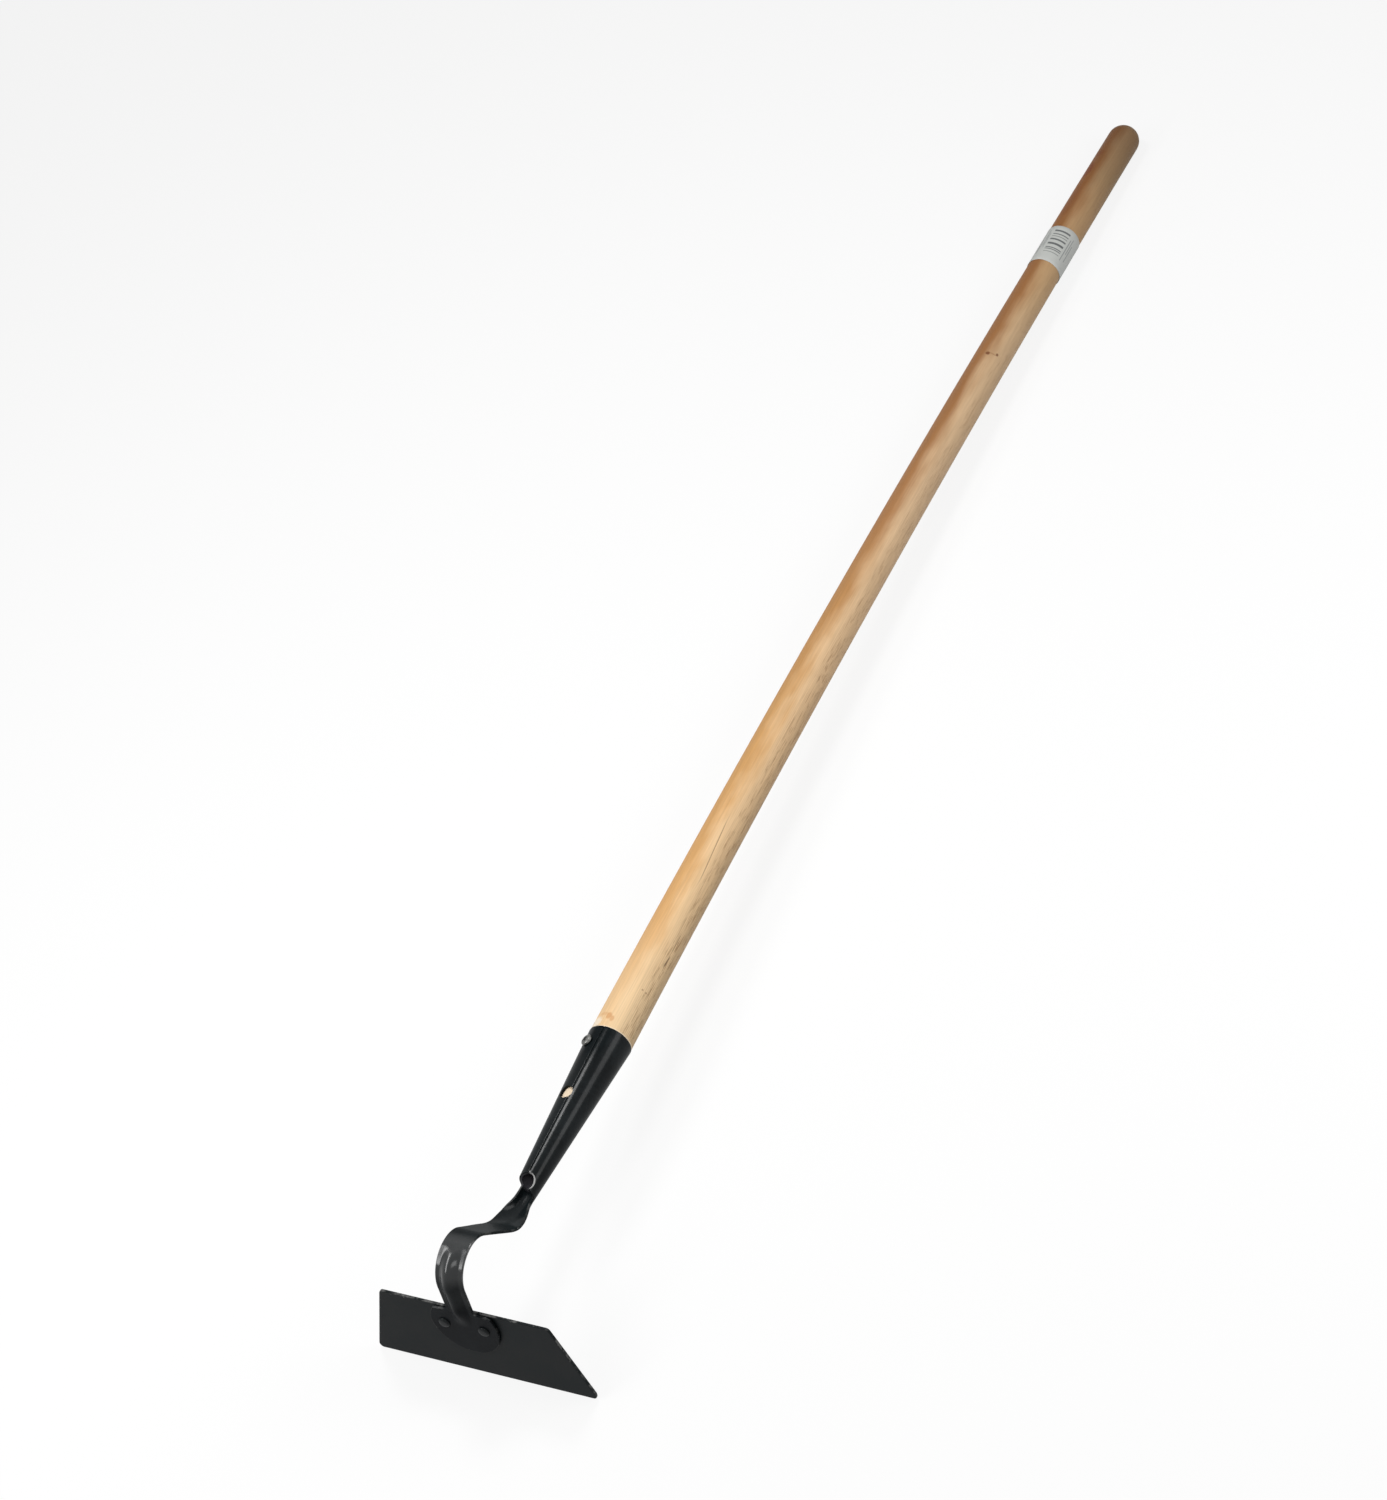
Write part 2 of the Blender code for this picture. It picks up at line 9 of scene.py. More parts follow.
import logging
import math
from dataclasses import dataclass
from enum import Enum
from functools import reduce
from typing import Any, Sequence

import bmesh
import bpy
import numpy as np
from mathutils import Matrix, Vector


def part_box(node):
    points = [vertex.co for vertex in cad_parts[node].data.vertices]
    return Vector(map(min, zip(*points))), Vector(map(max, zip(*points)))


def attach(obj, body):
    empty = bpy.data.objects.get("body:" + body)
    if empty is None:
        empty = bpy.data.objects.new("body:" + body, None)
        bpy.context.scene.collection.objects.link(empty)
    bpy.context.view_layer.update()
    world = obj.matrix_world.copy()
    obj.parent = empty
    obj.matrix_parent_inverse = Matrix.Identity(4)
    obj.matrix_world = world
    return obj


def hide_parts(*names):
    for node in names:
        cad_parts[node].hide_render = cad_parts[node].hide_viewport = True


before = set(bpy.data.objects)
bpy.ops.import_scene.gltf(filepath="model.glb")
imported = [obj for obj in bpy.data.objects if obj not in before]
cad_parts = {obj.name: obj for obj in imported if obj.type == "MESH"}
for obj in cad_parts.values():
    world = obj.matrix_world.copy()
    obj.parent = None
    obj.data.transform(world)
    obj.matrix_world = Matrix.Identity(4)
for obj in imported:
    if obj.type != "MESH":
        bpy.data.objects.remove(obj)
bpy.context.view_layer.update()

LOG = logging.getLogger("garden_hoe")
ROOT = "root"
FIT_LIMIT = 0.0015  # a dressed piece stays this close to its solid's box
ROW_GAP = 2e-5  # rows of a sheet that lie closer together than this are one

WEAR = ("edge_near", "bare_and_highlight", "dust_and_sheen", "dull", "glossy")
WHITE = (1.0, 1.0, 1.0, 1.0)

Colour = tuple[float, float, float]
Rings = list[tuple[float, float]]
Socket = bpy.types.NodeSocket


class Slot(Enum):
    """The names of the material slots."""

    PAINT = "black_paint"
    ZINC = "zinc_plated_steel"
    WOOD = "ash_wood"
    PAPER = "white_paper"


class TreeKind(Enum):
    """The kinds of node tree that the script builds."""

    SHADER = "ShaderNodeTree"
    GEOMETRY = "GeometryNodeTree"


class SocketKind(Enum):
    """The kinds of socket on a node group's face."""

    NUMBER = "NodeSocketFloat"
    COUNT = "NodeSocketInt"
    VECTOR = "NodeSocketVector"
    GEOMETRY = "NodeSocketGeometry"
    MATERIAL = "NodeSocketMaterial"


def smooth_step(value: np.ndarray) -> np.ndarray:
    """Returns 0 below 0, 1 above 1 and a smooth S between them."""
    value = np.clip(value, 0.0, 1.0)
    return value * value * (3 - 2 * value)


def mix(first: Any, second: Any, share: Any) -> Any:
    """Returns the value at a share of the way from the first to the second."""
    return first + (second - first) * share


def spread(start: float, end: float, step: float) -> np.ndarray:
    """Returns even places from start to end, both included, at most a step apart."""
    return np.linspace(start, end, max(1, math.ceil((end - start) / step - 1e-9)) + 1)


def thinned(rows: np.ndarray) -> np.ndarray:
    """Returns the rows in order, without those that lie closer than ROW_GAP to the one before."""
    rows = np.unique(rows)
    return rows[np.concatenate([[True], np.diff(rows) > ROW_GAP])]


def linear(red: int, green: int, blue: int) -> Colour:
    """Returns a linear colour for display values of 0 to 255."""
    shares = (red / 255, green / 255, blue / 255)
    return tuple(v / 12.92 if v <= 0.04045 else ((v + 0.055) / 1.055) ** 2.4 for v in shares)


class Tree:
    """Adds nodes to a node tree and links them.

    Attributes:
        nodes: The tree that is built.
    """

    def __init__(self, nodes: bpy.types.NodeTree) -> None:
        """Takes the tree to build in."""
        self.nodes = nodes

    def feed(self, socket: Socket, value: Any) -> None:
        """Gives a socket its value.

        Args:
            socket: The input.
            value: Another socket, which is linked to it, or a plain value.
        """
        if isinstance(value, bpy.types.NodeSocket):
            self.nodes.links.new(value, socket)
        else:
            socket.default_value = value

    def add(self, kind: str, inputs: dict | None = None, **settings: Any) -> bpy.types.Node:
        """Adds a node.

        Args:
            kind: The node's type name.
            inputs: Values or sockets for its inputs, by name or by place.
            **settings: The node's own properties, which are set before its inputs.

        Returns:
            The new node.
        """
        node = self.nodes.nodes.new(kind)
        for name, value in settings.items():
            setattr(node, name, value)
        for key, value in (inputs or {}).items():
            self.feed(node.inputs[key], value)
        return node

    def math(self, operation: str, *values: Any, clamp: bool = False) -> Socket:
        """Returns the result of a sum on numbers or sockets."""
        inputs = dict(enumerate(values))
        return self.add("ShaderNodeMath", inputs, operation=operation, use_clamp=clamp).outputs[0]

    def times(self, *values: Any) -> Socket:
        """Returns the product of all values."""
        return reduce(lambda first, second: self.math("MULTIPLY", first, second), values)

    def plus(self, first: Any, second: Any) -> Socket:
        """Returns the sum of two values."""
        return self.math("ADD", first, second)

    def minus(self, first: Any, second: Any) -> Socket:
        """Returns the first value less the second."""
        return self.math("SUBTRACT", first, second)

    def over(self, first: Any, second: Any) -> Socket:
        """Returns the first value as a share of the second."""
        return self.math("DIVIDE", first, second)

    def larger(self, first: Any, second: Any) -> Socket:
        """Returns the larger of two values."""
        return self.math("MAXIMUM", first, second)

    def step(self, value: Any, low: Any, high: Any, to_low: Any = 0.0, to_high: Any = 1.0) -> Socket:
        """Returns a smooth step of a value between two limits."""
        inputs = {"Value": value, "From Min": low, "From Max": high, "To Min": to_low, "To Max": to_high}
        return self.add("ShaderNodeMapRange", inputs, interpolation_type="SMOOTHSTEP").outputs["Result"]

    def between(self, share: Any, first: Any, second: Any) -> Socket:
        """Returns a mix of two numbers."""
        return self.add("ShaderNodeMix", {0: share, 2: first, 3: second}).outputs[0]

    def combine(self, x: Any = 0.0, y: Any = 0.0, z: Any = 0.0) -> Socket:
        """Returns a vector of three values."""
        return self.add("ShaderNodeCombineXYZ", {0: x, 1: y, 2: z}).outputs[0]

    def object_place(self) -> Socket:
        """Returns a point's place on the piece."""
        return self.add("ShaderNodeTexCoord").outputs["Object"]

    def attribute(self, name: str, output: str = "Fac") -> Socket:
        """Returns an attribute of the mesh."""
        return self.add("ShaderNodeAttribute", attribute_name=name).outputs[output]

    def noise(self, place: Any, scale: Any, detail: float = 2.0, roughness: float = 0.5) -> Socket:
        """Adds a noise.

        Args:
            place: Where it is read.
            scale: Its scale, or a tuple with a scale for each axis.
            detail: How many finer layers it has.
            roughness: How strong those are.

        Returns:
            Its value, 0 to 1.
        """
        if isinstance(scale, tuple):
            place = self.stretch(place, scale)
            scale = 1.0
        inputs = {"Vector": place, "Scale": scale, "Detail": detail, "Roughness": roughness}
        return self.add("ShaderNodeTexNoise", inputs).outputs["Fac"]

    def stretch(self, place: Any, scale: tuple) -> Socket:
        """Returns a place scaled by its own factor along each axis."""
        return self.add("ShaderNodeVectorMath", {0: place, 1: scale}, operation="MULTIPLY").outputs[0]

    def blend(self, share: Any, first: Any, second: Any, way: str = "MIX") -> Socket:
        """Mixes two colours.

        Args:
            share: The share of the second.
            first: The first colour, a socket or three linear values.
            second: The second colour.
            way: How they are mixed.

        Returns:
            The mixed colour.
        """
        node = self.add("ShaderNodeMix", data_type="RGBA", blend_type=way)
        for place, value in ((0, share), (6, first), (7, second)):
            self.feed(node.inputs[place], (*value, 1.0) if isinstance(value, tuple) else value)
        return node.outputs[2]

    def ramp(self, value: Any, stops: Sequence[tuple]) -> Socket:
        """Reads a colour from a ramp.

        Args:
            value: The place on it.
            stops: The place and the display colour of each of its stops.

        Returns:
            The colour.
        """
        node = self.add("ShaderNodeValToRGB", {"Fac": value})
        elements = node.color_ramp.elements
        for _ in range(len(stops) - 2):
            elements.new(0.5)
        for element, (place, colour) in zip(elements, stops):
            element.position = place
            element.color = (*linear(*colour), 1.0)
        return node.outputs["Color"]

    def group(self, made: bpy.types.NodeTree, inputs: dict) -> Any:
        """Adds a node group, feeds its named inputs and returns its outputs."""
        return self.add("ShaderNodeGroup", inputs, node_tree=made).outputs


class Group:
    """A node group in the making, with named inputs and outputs.

    Attributes:
        made: The group itself.
        tree: The builder of its nodes.
        given: The sockets that bring its inputs.
        sink: The node that takes its outputs.
    """

    PLAIN = {int: SocketKind.COUNT, float: SocketKind.NUMBER}

    def __init__(self, name: str, kind: TreeKind, inputs: dict[str, Any],
                 outputs: dict[str, SocketKind]) -> None:
        """Makes the group's face.

        Args:
            name: The group's name.
            kind: Shader or geometry.
            inputs: The default number of each named input, or the kind of one that has none.
            outputs: The kind of each named output.
        """
        self.made = bpy.data.node_groups.new(name, kind.value)
        for label, value in inputs.items():
            plain = self.PLAIN.get(type(value))
            item = self.made.interface.new_socket(label, in_out="INPUT", socket_type=(plain or value).value)
            if plain:
                item.default_value = value
        for label, value in outputs.items():
            self.made.interface.new_socket(label, in_out="OUTPUT", socket_type=value.value)
        self.tree = Tree(self.made)
        self.given = self.tree.add("NodeGroupInput").outputs
        self.sink = self.tree.add("NodeGroupOutput")

    def give(self, **results: Socket) -> bpy.types.NodeTree:
        """Links the named outputs and returns the group."""
        for name, socket in results.items():
            self.tree.feed(self.sink.inputs[name], socket)
        return self.made


class SharedEffects:
    """Shader groups that more than one finish uses, each built once.

    Attributes:
        speckle: Small specks where a noise passes a limit, such as chips, pores and dirt.
        mottle: Soft clouds of two sizes, for uneven colour and gloss.
        soft_bar: 1 between two limits of a value and 0 outside them, with soft edges.
    """

    def __init__(self) -> None:
        """Builds each group."""
        self.speckle = self._speckle()
        self.mottle = self._mottle()
        self.soft_bar = self._soft_bar()

    def _speckle(self) -> bpy.types.NodeTree:
        """Builds the group of small specks.

        Returns:
            The group.
        """
        group = Group(
            "speckle", TreeKind.SHADER,
            {"Place": SocketKind.VECTOR, "Scale": 400.0, "Limit": 0.7, "Softness": 0.03},
            {"Mask": SocketKind.NUMBER},
        )
        tree, given = group.tree, group.given
        high = tree.plus(given["Limit"], given["Softness"])
        return group.give(Mask=tree.step(tree.noise(given["Place"], given["Scale"]), given["Limit"], high))

    def _mottle(self) -> bpy.types.NodeTree:
        """Builds the group of soft clouds, with their height.

        Returns:
            The group.
        """
        group = Group(
            "mottle", TreeKind.SHADER,
            {"Place": SocketKind.VECTOR, "Scale": 40.0, "Fine share": 0.35},
            {"Clouds": SocketKind.NUMBER, "Height": SocketKind.NUMBER},
        )
        tree, given = group.tree, group.given
        wide = tree.noise(given["Place"], given["Scale"], 3.0)
        fine = tree.noise(given["Place"], tree.times(given["Scale"], 9.0))
        height = tree.between(given["Fine share"], wide, fine)
        return group.give(Clouds=tree.step(height, 0.3, 0.7), Height=height)

    def _soft_bar(self) -> bpy.types.NodeTree:
        """Builds the group of the soft-edged bar.

        Returns:
            The group.
        """
        group = Group(
            "bar", TreeKind.SHADER,
            {"Value": 0.0, "Middle": 0.0, "Half width": 0.001, "Softness": 0.0002},
            {"Mask": SocketKind.NUMBER},
        )
        tree, given = group.tree, group.given
        away = tree.math("ABSOLUTE", tree.minus(given["Value"], given["Middle"]))
        low = tree.minus(given["Half width"], given["Softness"])
        high = tree.plus(given["Half width"], given["Softness"])
        return group.give(Mask=tree.step(away, low, high, 1.0, 0.0))

    def specks(self, tree: Tree, place: Any, scale: float, limit: Any, softness: float = 0.03) -> Socket:
        """Places the specks in a material.

        Args:
            tree: The material's tree.
            place: Where the noise is read.
            scale: Its scale.
            limit: The noise at which a speck begins.
            softness: How far above it the speck is full.

        Returns:
            The specks' mask.
        """
        inputs = {"Place": place, "Scale": scale, "Limit": limit, "Softness": softness}
        return tree.group(self.speckle, inputs)["Mask"]

    def clouds(self, tree: Tree, place: Any, scale: float, fine_share: float) -> tuple[Socket, Socket]:
        """Places the clouds in a material.

        Args:
            tree: The material's tree.
            place: Where they are read.
            scale: The wide clouds' scale.
            fine_share: The share of the fine ones.

        Returns:
            The clouds, 0 to 1, and their height.
        """
        made = tree.group(self.mottle, {"Place": place, "Scale": scale, "Fine share": fine_share})
        return made["Clouds"], made["Height"]

    def bar(self, tree: Tree, value: Any, middle: Any, half: float, softness: float) -> Socket:
        """Places a soft-edged bar in a material.

        Args:
            tree: The material's tree.
            value: What it is read from.
            middle: The value at its middle.
            half: Half its width.
            softness: How far inside and outside its edge it fades.

        Returns:
            The bar's mask.
        """
        inputs = {"Value": value, "Middle": middle, "Half width": half, "Softness": softness}
        return tree.group(self.soft_bar, inputs)["Mask"]

    def span(self, tree: Tree, value: Any, start: float, end: float, softness: float) -> Socket:
        """Places a soft-edged bar between two limits, and returns its mask."""
        return self.bar(tree, value, (start + end) / 2, (end - start) / 2, softness)


@dataclass(frozen=True)
class Finish:
    """What every finish has: a name and the shader's plain values.

    Attributes:
        name: The material's name.
        roughness: Roughness where nothing varies it.
        metallic: 1 for uncoated metal.
        specular: The shader's specular level.
    """

    name: str
    roughness: float
    metallic: float = 0.0
    specular: float = 0.5

    def start(self) -> tuple[bpy.types.Material, Tree, bpy.types.Node]:
        """Makes a material with the plain values set.

        Returns:
            The material, its tree and its Principled shader.
        """
        material = bpy.data.materials.new(self.name)
        material.use_nodes = True
        shader = material.node_tree.nodes["Principled BSDF"]
        shader.inputs["Roughness"].default_value = self.roughness
        shader.inputs["Metallic"].default_value = self.metallic
        shader.inputs["Specular IOR Level"].default_value = self.specular
        return material, Tree(material.node_tree), shader

    def bump(self, tree: Tree, shader: bpy.types.Node, height: Socket, depth: float) -> None:
        """Feeds a height, in units of a depth in metres, to the shader's normal."""
        node = tree.add("ShaderNodeBump", {"Strength": 1.0, "Distance": depth, "Height": height})
        tree.feed(shader.inputs["Normal"], node.outputs["Normal"])

    def build(self, effects: SharedEffects) -> bpy.types.Material:
        """Returns the finished material."""
        raise NotImplementedError


@dataclass(frozen=True)
class PaintedSteel(Finish):
    """Black paint on sheet steel: a soft sheen under a thin gloss, chipped along its edges.

    Attributes:
        gloss: The weight of the gloss coat where nothing varies it.
        gloss_spread: The share by which the film's clouds raise or lower it.
        thick_gloss: Its weight where the film is thick.
        worn_gloss: The share of it that is left where the paint is worn or dull.
        gloss_roughness: Its roughness.
        dull_roughness: The paint's own roughness where it is dull.
        worn_matt: The share of that where the paint is worn.
        cloud_scale: Scale of the film's clouds, fine_share of which are fine.
        film_depth: Depth of the film's unevenness.
        chip_limit: The noise at which a chip begins, edge_chips lower along an edge.
        worn_share: How far the paint is worn off along an edge, in patches.
        dust_share: How strong the fine dirt is.
    """

    gloss: float = 0.20
    gloss_spread: float = 0.15
    thick_gloss: float = 1.0
    worn_gloss: float = 0.15
    gloss_roughness: float = 0.18
    dull_roughness: float = 0.52
    worn_matt: float = 0.6
    cloud_scale: float = 38.0
    fine_share: float = 0.4
    film_depth: float = 0.000018
    chip_scale: float = 520.0
    chip_limit: float = 0.80
    edge_chips: float = 0.11
    worn_share: float = 0.25
    patch_scale: float = 130.0
    dust_scale: float = 1900.0
    dust_limit: float = 0.72
    dust_share: float = 0.25
    deep: Colour = (0.0033, 0.0046, 0.0051)
    film: Colour = (0.0064, 0.0095, 0.0108)
    # Dust colour; inside the relief and on the foot it is also a painted sheen.
    dust: Colour = (0.13, 0.125, 0.145)
    chip: Colour = (0.20, 0.20, 0.195)
    # Steel colour where the paint is off; along the relief's right edge it is partly a painted highlight.
    steel: Colour = (0.55, 0.55, 0.54)

    EDGE = (0.92, 0.985)
    PATCHES = (0.45, 0.62)
    ROUGHER = (-0.03, 0.05)

    def build(self, effects: SharedEffects) -> bpy.types.Material:
        """Makes the paint, whose wear follows the attributes of the mesh that WEAR names.

        Args:
            effects: The shared groups.

        Returns:
            The material.
        """
        material, tree, shader = self.start()
        place = tree.object_place()
        edge, bare_and_highlight, dust_and_sheen, dull, glossy = (tree.attribute(name) for name in WEAR)
        clouds, height = effects.clouds(tree, place, self.cloud_scale, self.fine_share)
        limit = tree.minus(self.chip_limit, tree.times(edge, self.edge_chips))
        chips = effects.specks(tree, place, self.chip_scale, limit)
        patches = tree.step(tree.noise(place, self.patch_scale, 3.0), *self.PATCHES)
        lost = tree.larger(tree.times(tree.step(edge, *self.EDGE), patches, self.worn_share), chips)
        # Fine dirt specks, joined by the dust that the mesh lays inside the relief and on the foot, which is
        # partly a painted sheen.
        dirt = effects.specks(tree, place, self.dust_scale, self.dust_limit)
        dirt = tree.larger(tree.times(dirt, self.dust_share), dust_and_sheen)

        colour = tree.blend(clouds, self.deep, self.film)
        # Dust, chips and uncoated steel are laid over the film in turn; the dust is partly a painted sheen
        # and the steel partly a painted highlight.
        for share, over in ((dirt, self.dust), (lost, self.chip), (bare_and_highlight, self.steel)):
            colour = tree.blend(share, colour, over)
        tree.feed(shader.inputs["Base Color"], colour)

        low, high = (self.gloss * (1 + change) for change in (-self.gloss_spread, self.gloss_spread))
        film = tree.between(glossy, tree.step(clouds, 0.0, 1.0, low, high), self.thick_gloss)
        kept = tree.step(tree.larger(lost, dull), 0.0, 1.0, 1.0, self.worn_gloss)
        tree.feed(shader.inputs["Coat Weight"], tree.times(film, kept))
        shader.inputs["Coat Roughness"].default_value = self.gloss_roughness

        low, high = (self.roughness + change for change in self.ROUGHER)
        matt = tree.larger(tree.times(lost, self.worn_matt), dull)
        rough = tree.between(matt, tree.step(clouds, 0.0, 1.0, low, high), self.dull_roughness)
        tree.feed(shader.inputs["Roughness"], rough)
        self.bump(tree, shader, tree.minus(height, chips), self.film_depth)
        return material


@dataclass(frozen=True)
class ZincPlate(Finish):
    """Dull zinc plating of the screw, darker in cloudy patches.

    Attributes:
        rougher: How much rougher the dull patches are than the bright ones.
        depth: Depth of the plating's unevenness.
    """

    cloud_scale: float = 420.0
    fine_share: float = 0.5
    rougher: float = 0.15
    depth: float = 0.00005
    bright: Colour = (0.20, 0.20, 0.19)
    dull: Colour = (0.055, 0.055, 0.053)

    def build(self, effects: SharedEffects) -> bpy.types.Material:
        """Makes the plating.

        Args:
            effects: The shared groups.

        Returns:
            The material.
        """
        material, tree, shader = self.start()
        clouds, height = effects.clouds(tree, tree.object_place(), self.cloud_scale, self.fine_share)
        tree.feed(shader.inputs["Base Color"], tree.blend(clouds, self.dull, self.bright))
        rough = tree.step(clouds, 0.0, 1.0, self.roughness + self.rougher, self.roughness)
        tree.feed(shader.inputs["Roughness"], rough)
        self.bump(tree, shader, height, self.depth)
        return material


@dataclass(frozen=True)
class TurnedWood(Finish):
    """Pale turned ash: cream at the head, browner to the grip, with a warm streak and open grain.

    The figure follows the wood_place attribute: distance up the handle, then how far up and
    how far to the front a point lies from the handle's own axis. Towards the grip the colours
    darken, partly as painted shade of light that falls off there.

    Attributes:
        length: The handle's free length.
        ring_width: Width of a year ring.
        ring_drift: How far the rings wander.
        pith_reach: How far the pith lies from the handle's axis, at the angle pith_turn.
        streak_turn: The angle at which the warm streak ends.
        limb_shade: How much darker the right limb is near the head, as painted shade.
        pore_share: How dark the pores are.
        crack_share: How dark the cracks are.
        grain_depth: Depth of pores and cracks.
        fibre_height: The fibres' height as a share of it.
        rougher: How much the fibres raise or lower the roughness.
    """

    length: float = 1.08
    ring_width: float = 0.0013
    ring_drift: float = 0.003
    pith_reach: float = 0.050
    pith_turn: float = math.radians(-12)
    streak_turn: float = math.radians(14)
    limb_shade: float = 0.2
    pore_share: float = 0.55
    crack_share: float = 0.75
    grain_depth: float = 0.00012
    fibre_height: float = 0.35
    rougher: float = 0.06
    pore_tint: Colour = linear(150, 108, 72)
    crack_tint: Colour = linear(70, 44, 28)
    rim_tint: Colour = linear(250, 240, 222)

    # Noise scales along the handle and across it.
    WANDER = (17, 60, 60)
    FIBRES = (26, 900, 900)
    DRIFT = (3.5, 25, 25)
    PORES = (75, 1500, 1500)

    # Shares of the length with the display colours there; towards the grip they darken, partly as painted
    # shade.
    PALE = (
        (0.00, (238, 206, 162)), (0.12, (234, 199, 154)), (0.30, (227, 191, 148)), (0.55, (219, 186, 148)),
        (0.72, (217, 184, 145)), (0.79, (208, 172, 129)), (0.88, (194, 157, 116)), (0.93, (168, 137, 101)),
        (1.00, (142, 112, 82)),
    )
    WARM = (
        (0.00, (226, 188, 141)), (0.10, (213, 165, 108)), (0.30, (199, 151, 95)), (0.50, (169, 121, 77)),
        (0.65, (159, 111, 69)), (0.78, (160, 110, 66)), (0.90, (148, 96, 52)), (1.00, (122, 82, 48)),
    )

    # Start and end up the handle, degrees round it at both, and half width in radians.
    CRACKS = ((0.0675, 0.0770, 64, 67, 0.030), (0.148, 0.204, 39, 26, 0.014), (0.082, 0.098, 66, 65, 0.010))

    # Distance, degrees round, reach in metres and in radians, strength and display colour: two
    # knots and the line between them, the stains at the mouth, two dots, a pale spot, and the
    # brown patches at the grip.
    MARKS = (
        (0.7490, 11, 0.0020, 0.13, 0.85, (112, 66, 40)), (0.7515, 41, 0.0016, 0.09, 0.80, (110, 70, 46)),
        (0.7500, 27, 0.0008, 0.24, 0.40, (140, 92, 58)), (0.0105, -3, 0.0030, 0.13, 0.55, (196, 130, 70)),
        (0.0085, 8, 0.0026, 0.10, 0.50, (200, 134, 76)), (0.0120, -20, 0.0016, 0.26, 0.35, (206, 150, 98)),
        (0.0405, 43, 0.0008, 0.05, 0.60, (150, 112, 84)), (0.0400, 55, 0.0008, 0.05, 0.60, (140, 100, 76)),
        (0.0045, -38, 0.0050, 0.36, 0.75, (243, 232, 214)), (1.0300, -24, 0.0050, 0.30, 0.45, (120, 62, 26)),
        (1.0060, -34, 0.0110, 0.40, 0.75, (122, 60, 24)), (0.960, -20, 0.0220, 0.42, 0.40, (130, 76, 38)),
    )

    def build(self, effects: SharedEffects) -> bpy.types.Material:
        """Makes the wood.

        Args:
            effects: The shared groups.

        Returns:
            The material.
        """
        material, tree, shader = self.start()
        place = tree.attribute("wood_place", "Vector")
        along, up, front = tree.add("ShaderNodeSeparateXYZ", {0: place}).outputs
        share = tree.over(along, self.length)
        turn = tree.math("ARCTAN2", front, up)
        colour = self._body(tree, share, turn, tree.noise(place, self.WANDER, 3.0))
        fibres = tree.noise(place, self.FIBRES, 3.0, 0.6)
        rings = tree.times(self._rings(tree, place, up, front), tree.step(turn, 0.35, 1.05, -0.03, -0.17))
        shade = tree.plus(rings, tree.step(fibres, 0.25, 0.75, 0.93, 1.07))
        # Painted shade: the right limb darkens near the head, on the side where less light falls.
        shaded_limb = tree.times(tree.step(turn, 1.15, 1.55), tree.step(share, 0.2, 0.4, 1.0, 0.2))
        shade = tree.minus(shade, tree.times(shaded_limb, self.limb_shade))
        grey = tree.add("ShaderNodeCombineColor", {0: shade, 1: shade, 2: shade}).outputs[0]
        colour = tree.blend(1.0, colour, grey, "MULTIPLY")
        pores = self._pores(tree, effects, place, along, turn)
        cracks = self._cracks(tree, effects, along, turn)
        colour = tree.blend(tree.times(pores, self.pore_share), colour, self.pore_tint)
        colour = self._marks(tree, colour, along, turn, place)
        tree.feed(shader.inputs["Base Color"], tree.blend(cracks, colour, self.crack_tint))
        height = tree.minus(tree.times(fibres, self.fibre_height), tree.plus(pores, cracks))
        self.bump(tree, shader, height, self.grain_depth)
        low, high = self.roughness - self.rougher, self.roughness + self.rougher
        tree.feed(shader.inputs["Roughness"], tree.step(fibres, 0.2, 0.8, low, high))
        return material

    def _body(self, tree: Tree, share: Socket, turn: Socket, wander: Socket) -> Socket:
        """Draws the wood's wide colours: the pale ground and the warm streak along one side.

        Args:
            tree: The material's tree.
            share: The share of the handle's length.
            turn: The angle round its axis.
            wander: A slow noise that bends the streak's edge.

        Returns:
            The colour.
        """
        wobble = tree.times(tree.minus(wander, 0.5), tree.step(share, 0.25, 0.5, 2.1, 1.2))
        edge = tree.minus(tree.plus(turn, wobble), tree.step(share, 0.25, 0.55, 0.0, 0.10))
        streak = tree.step(edge, self.streak_turn - 0.55, self.streak_turn + 0.50, 1.0, 0.0)
        back = tree.step(turn, -2.4, -1.6)
        fade = tree.step(share, 0.0, 0.12, 0.55, 1.0)
        warmth = tree.times(streak, back, fade)
        return tree.blend(warmth, tree.ramp(share, self.PALE), tree.ramp(share, self.WARM))

    def _rings(self, tree: Tree, place: Socket, up: Socket, front: Socket) -> Socket:
        """Draws the late wood of the year rings, round a pith outside the handle.

        Args:
            tree: The material's tree.
            place: The point's place in the wood.
            up: How far up it lies from the handle's axis.
            front: How far to the front it lies.

        Returns:
            The late wood's mask.
        """
        pith = (self.pith_reach * math.cos(self.pith_turn), self.pith_reach * math.sin(self.pith_turn))
        across = tree.combine(tree.minus(up, pith[0]), tree.minus(front, pith[1]))
        reach = tree.add("ShaderNodeVectorMath", {0: across}, operation="LENGTH").outputs["Value"]
        drift = tree.times(tree.noise(place, self.DRIFT), self.ring_drift)
        saw = tree.math("FRACT", tree.over(tree.plus(reach, drift), self.ring_width))
        return tree.times(tree.step(saw, 0.35, 0.9), tree.step(saw, 0.92, 1.0, 1.0, 0.0))

    def _pores(self, tree: Tree, effects: SharedEffects, place: Socket, along: Socket,
               turn: Socket) -> Socket:
        """Draws short open pores, most of them on the front side near the head.

        Args:
            tree: The material's tree.
            effects: The shared groups.
            place: The point's place in the wood.
            along: Its distance up the handle.
            turn: Its angle round the axis.

        Returns:
            The pores' mask.
        """
        slits = effects.specks(tree, tree.stretch(place, self.PORES), 1.0, 0.58, 0.06)
        side = tree.times(tree.step(turn, 0.60, 1.05), tree.step(turn, 2.3, 3.0, 1.0, 0.0))
        return tree.times(slits, side, tree.step(along, 0.25, 0.95, 1.0, 0.35))

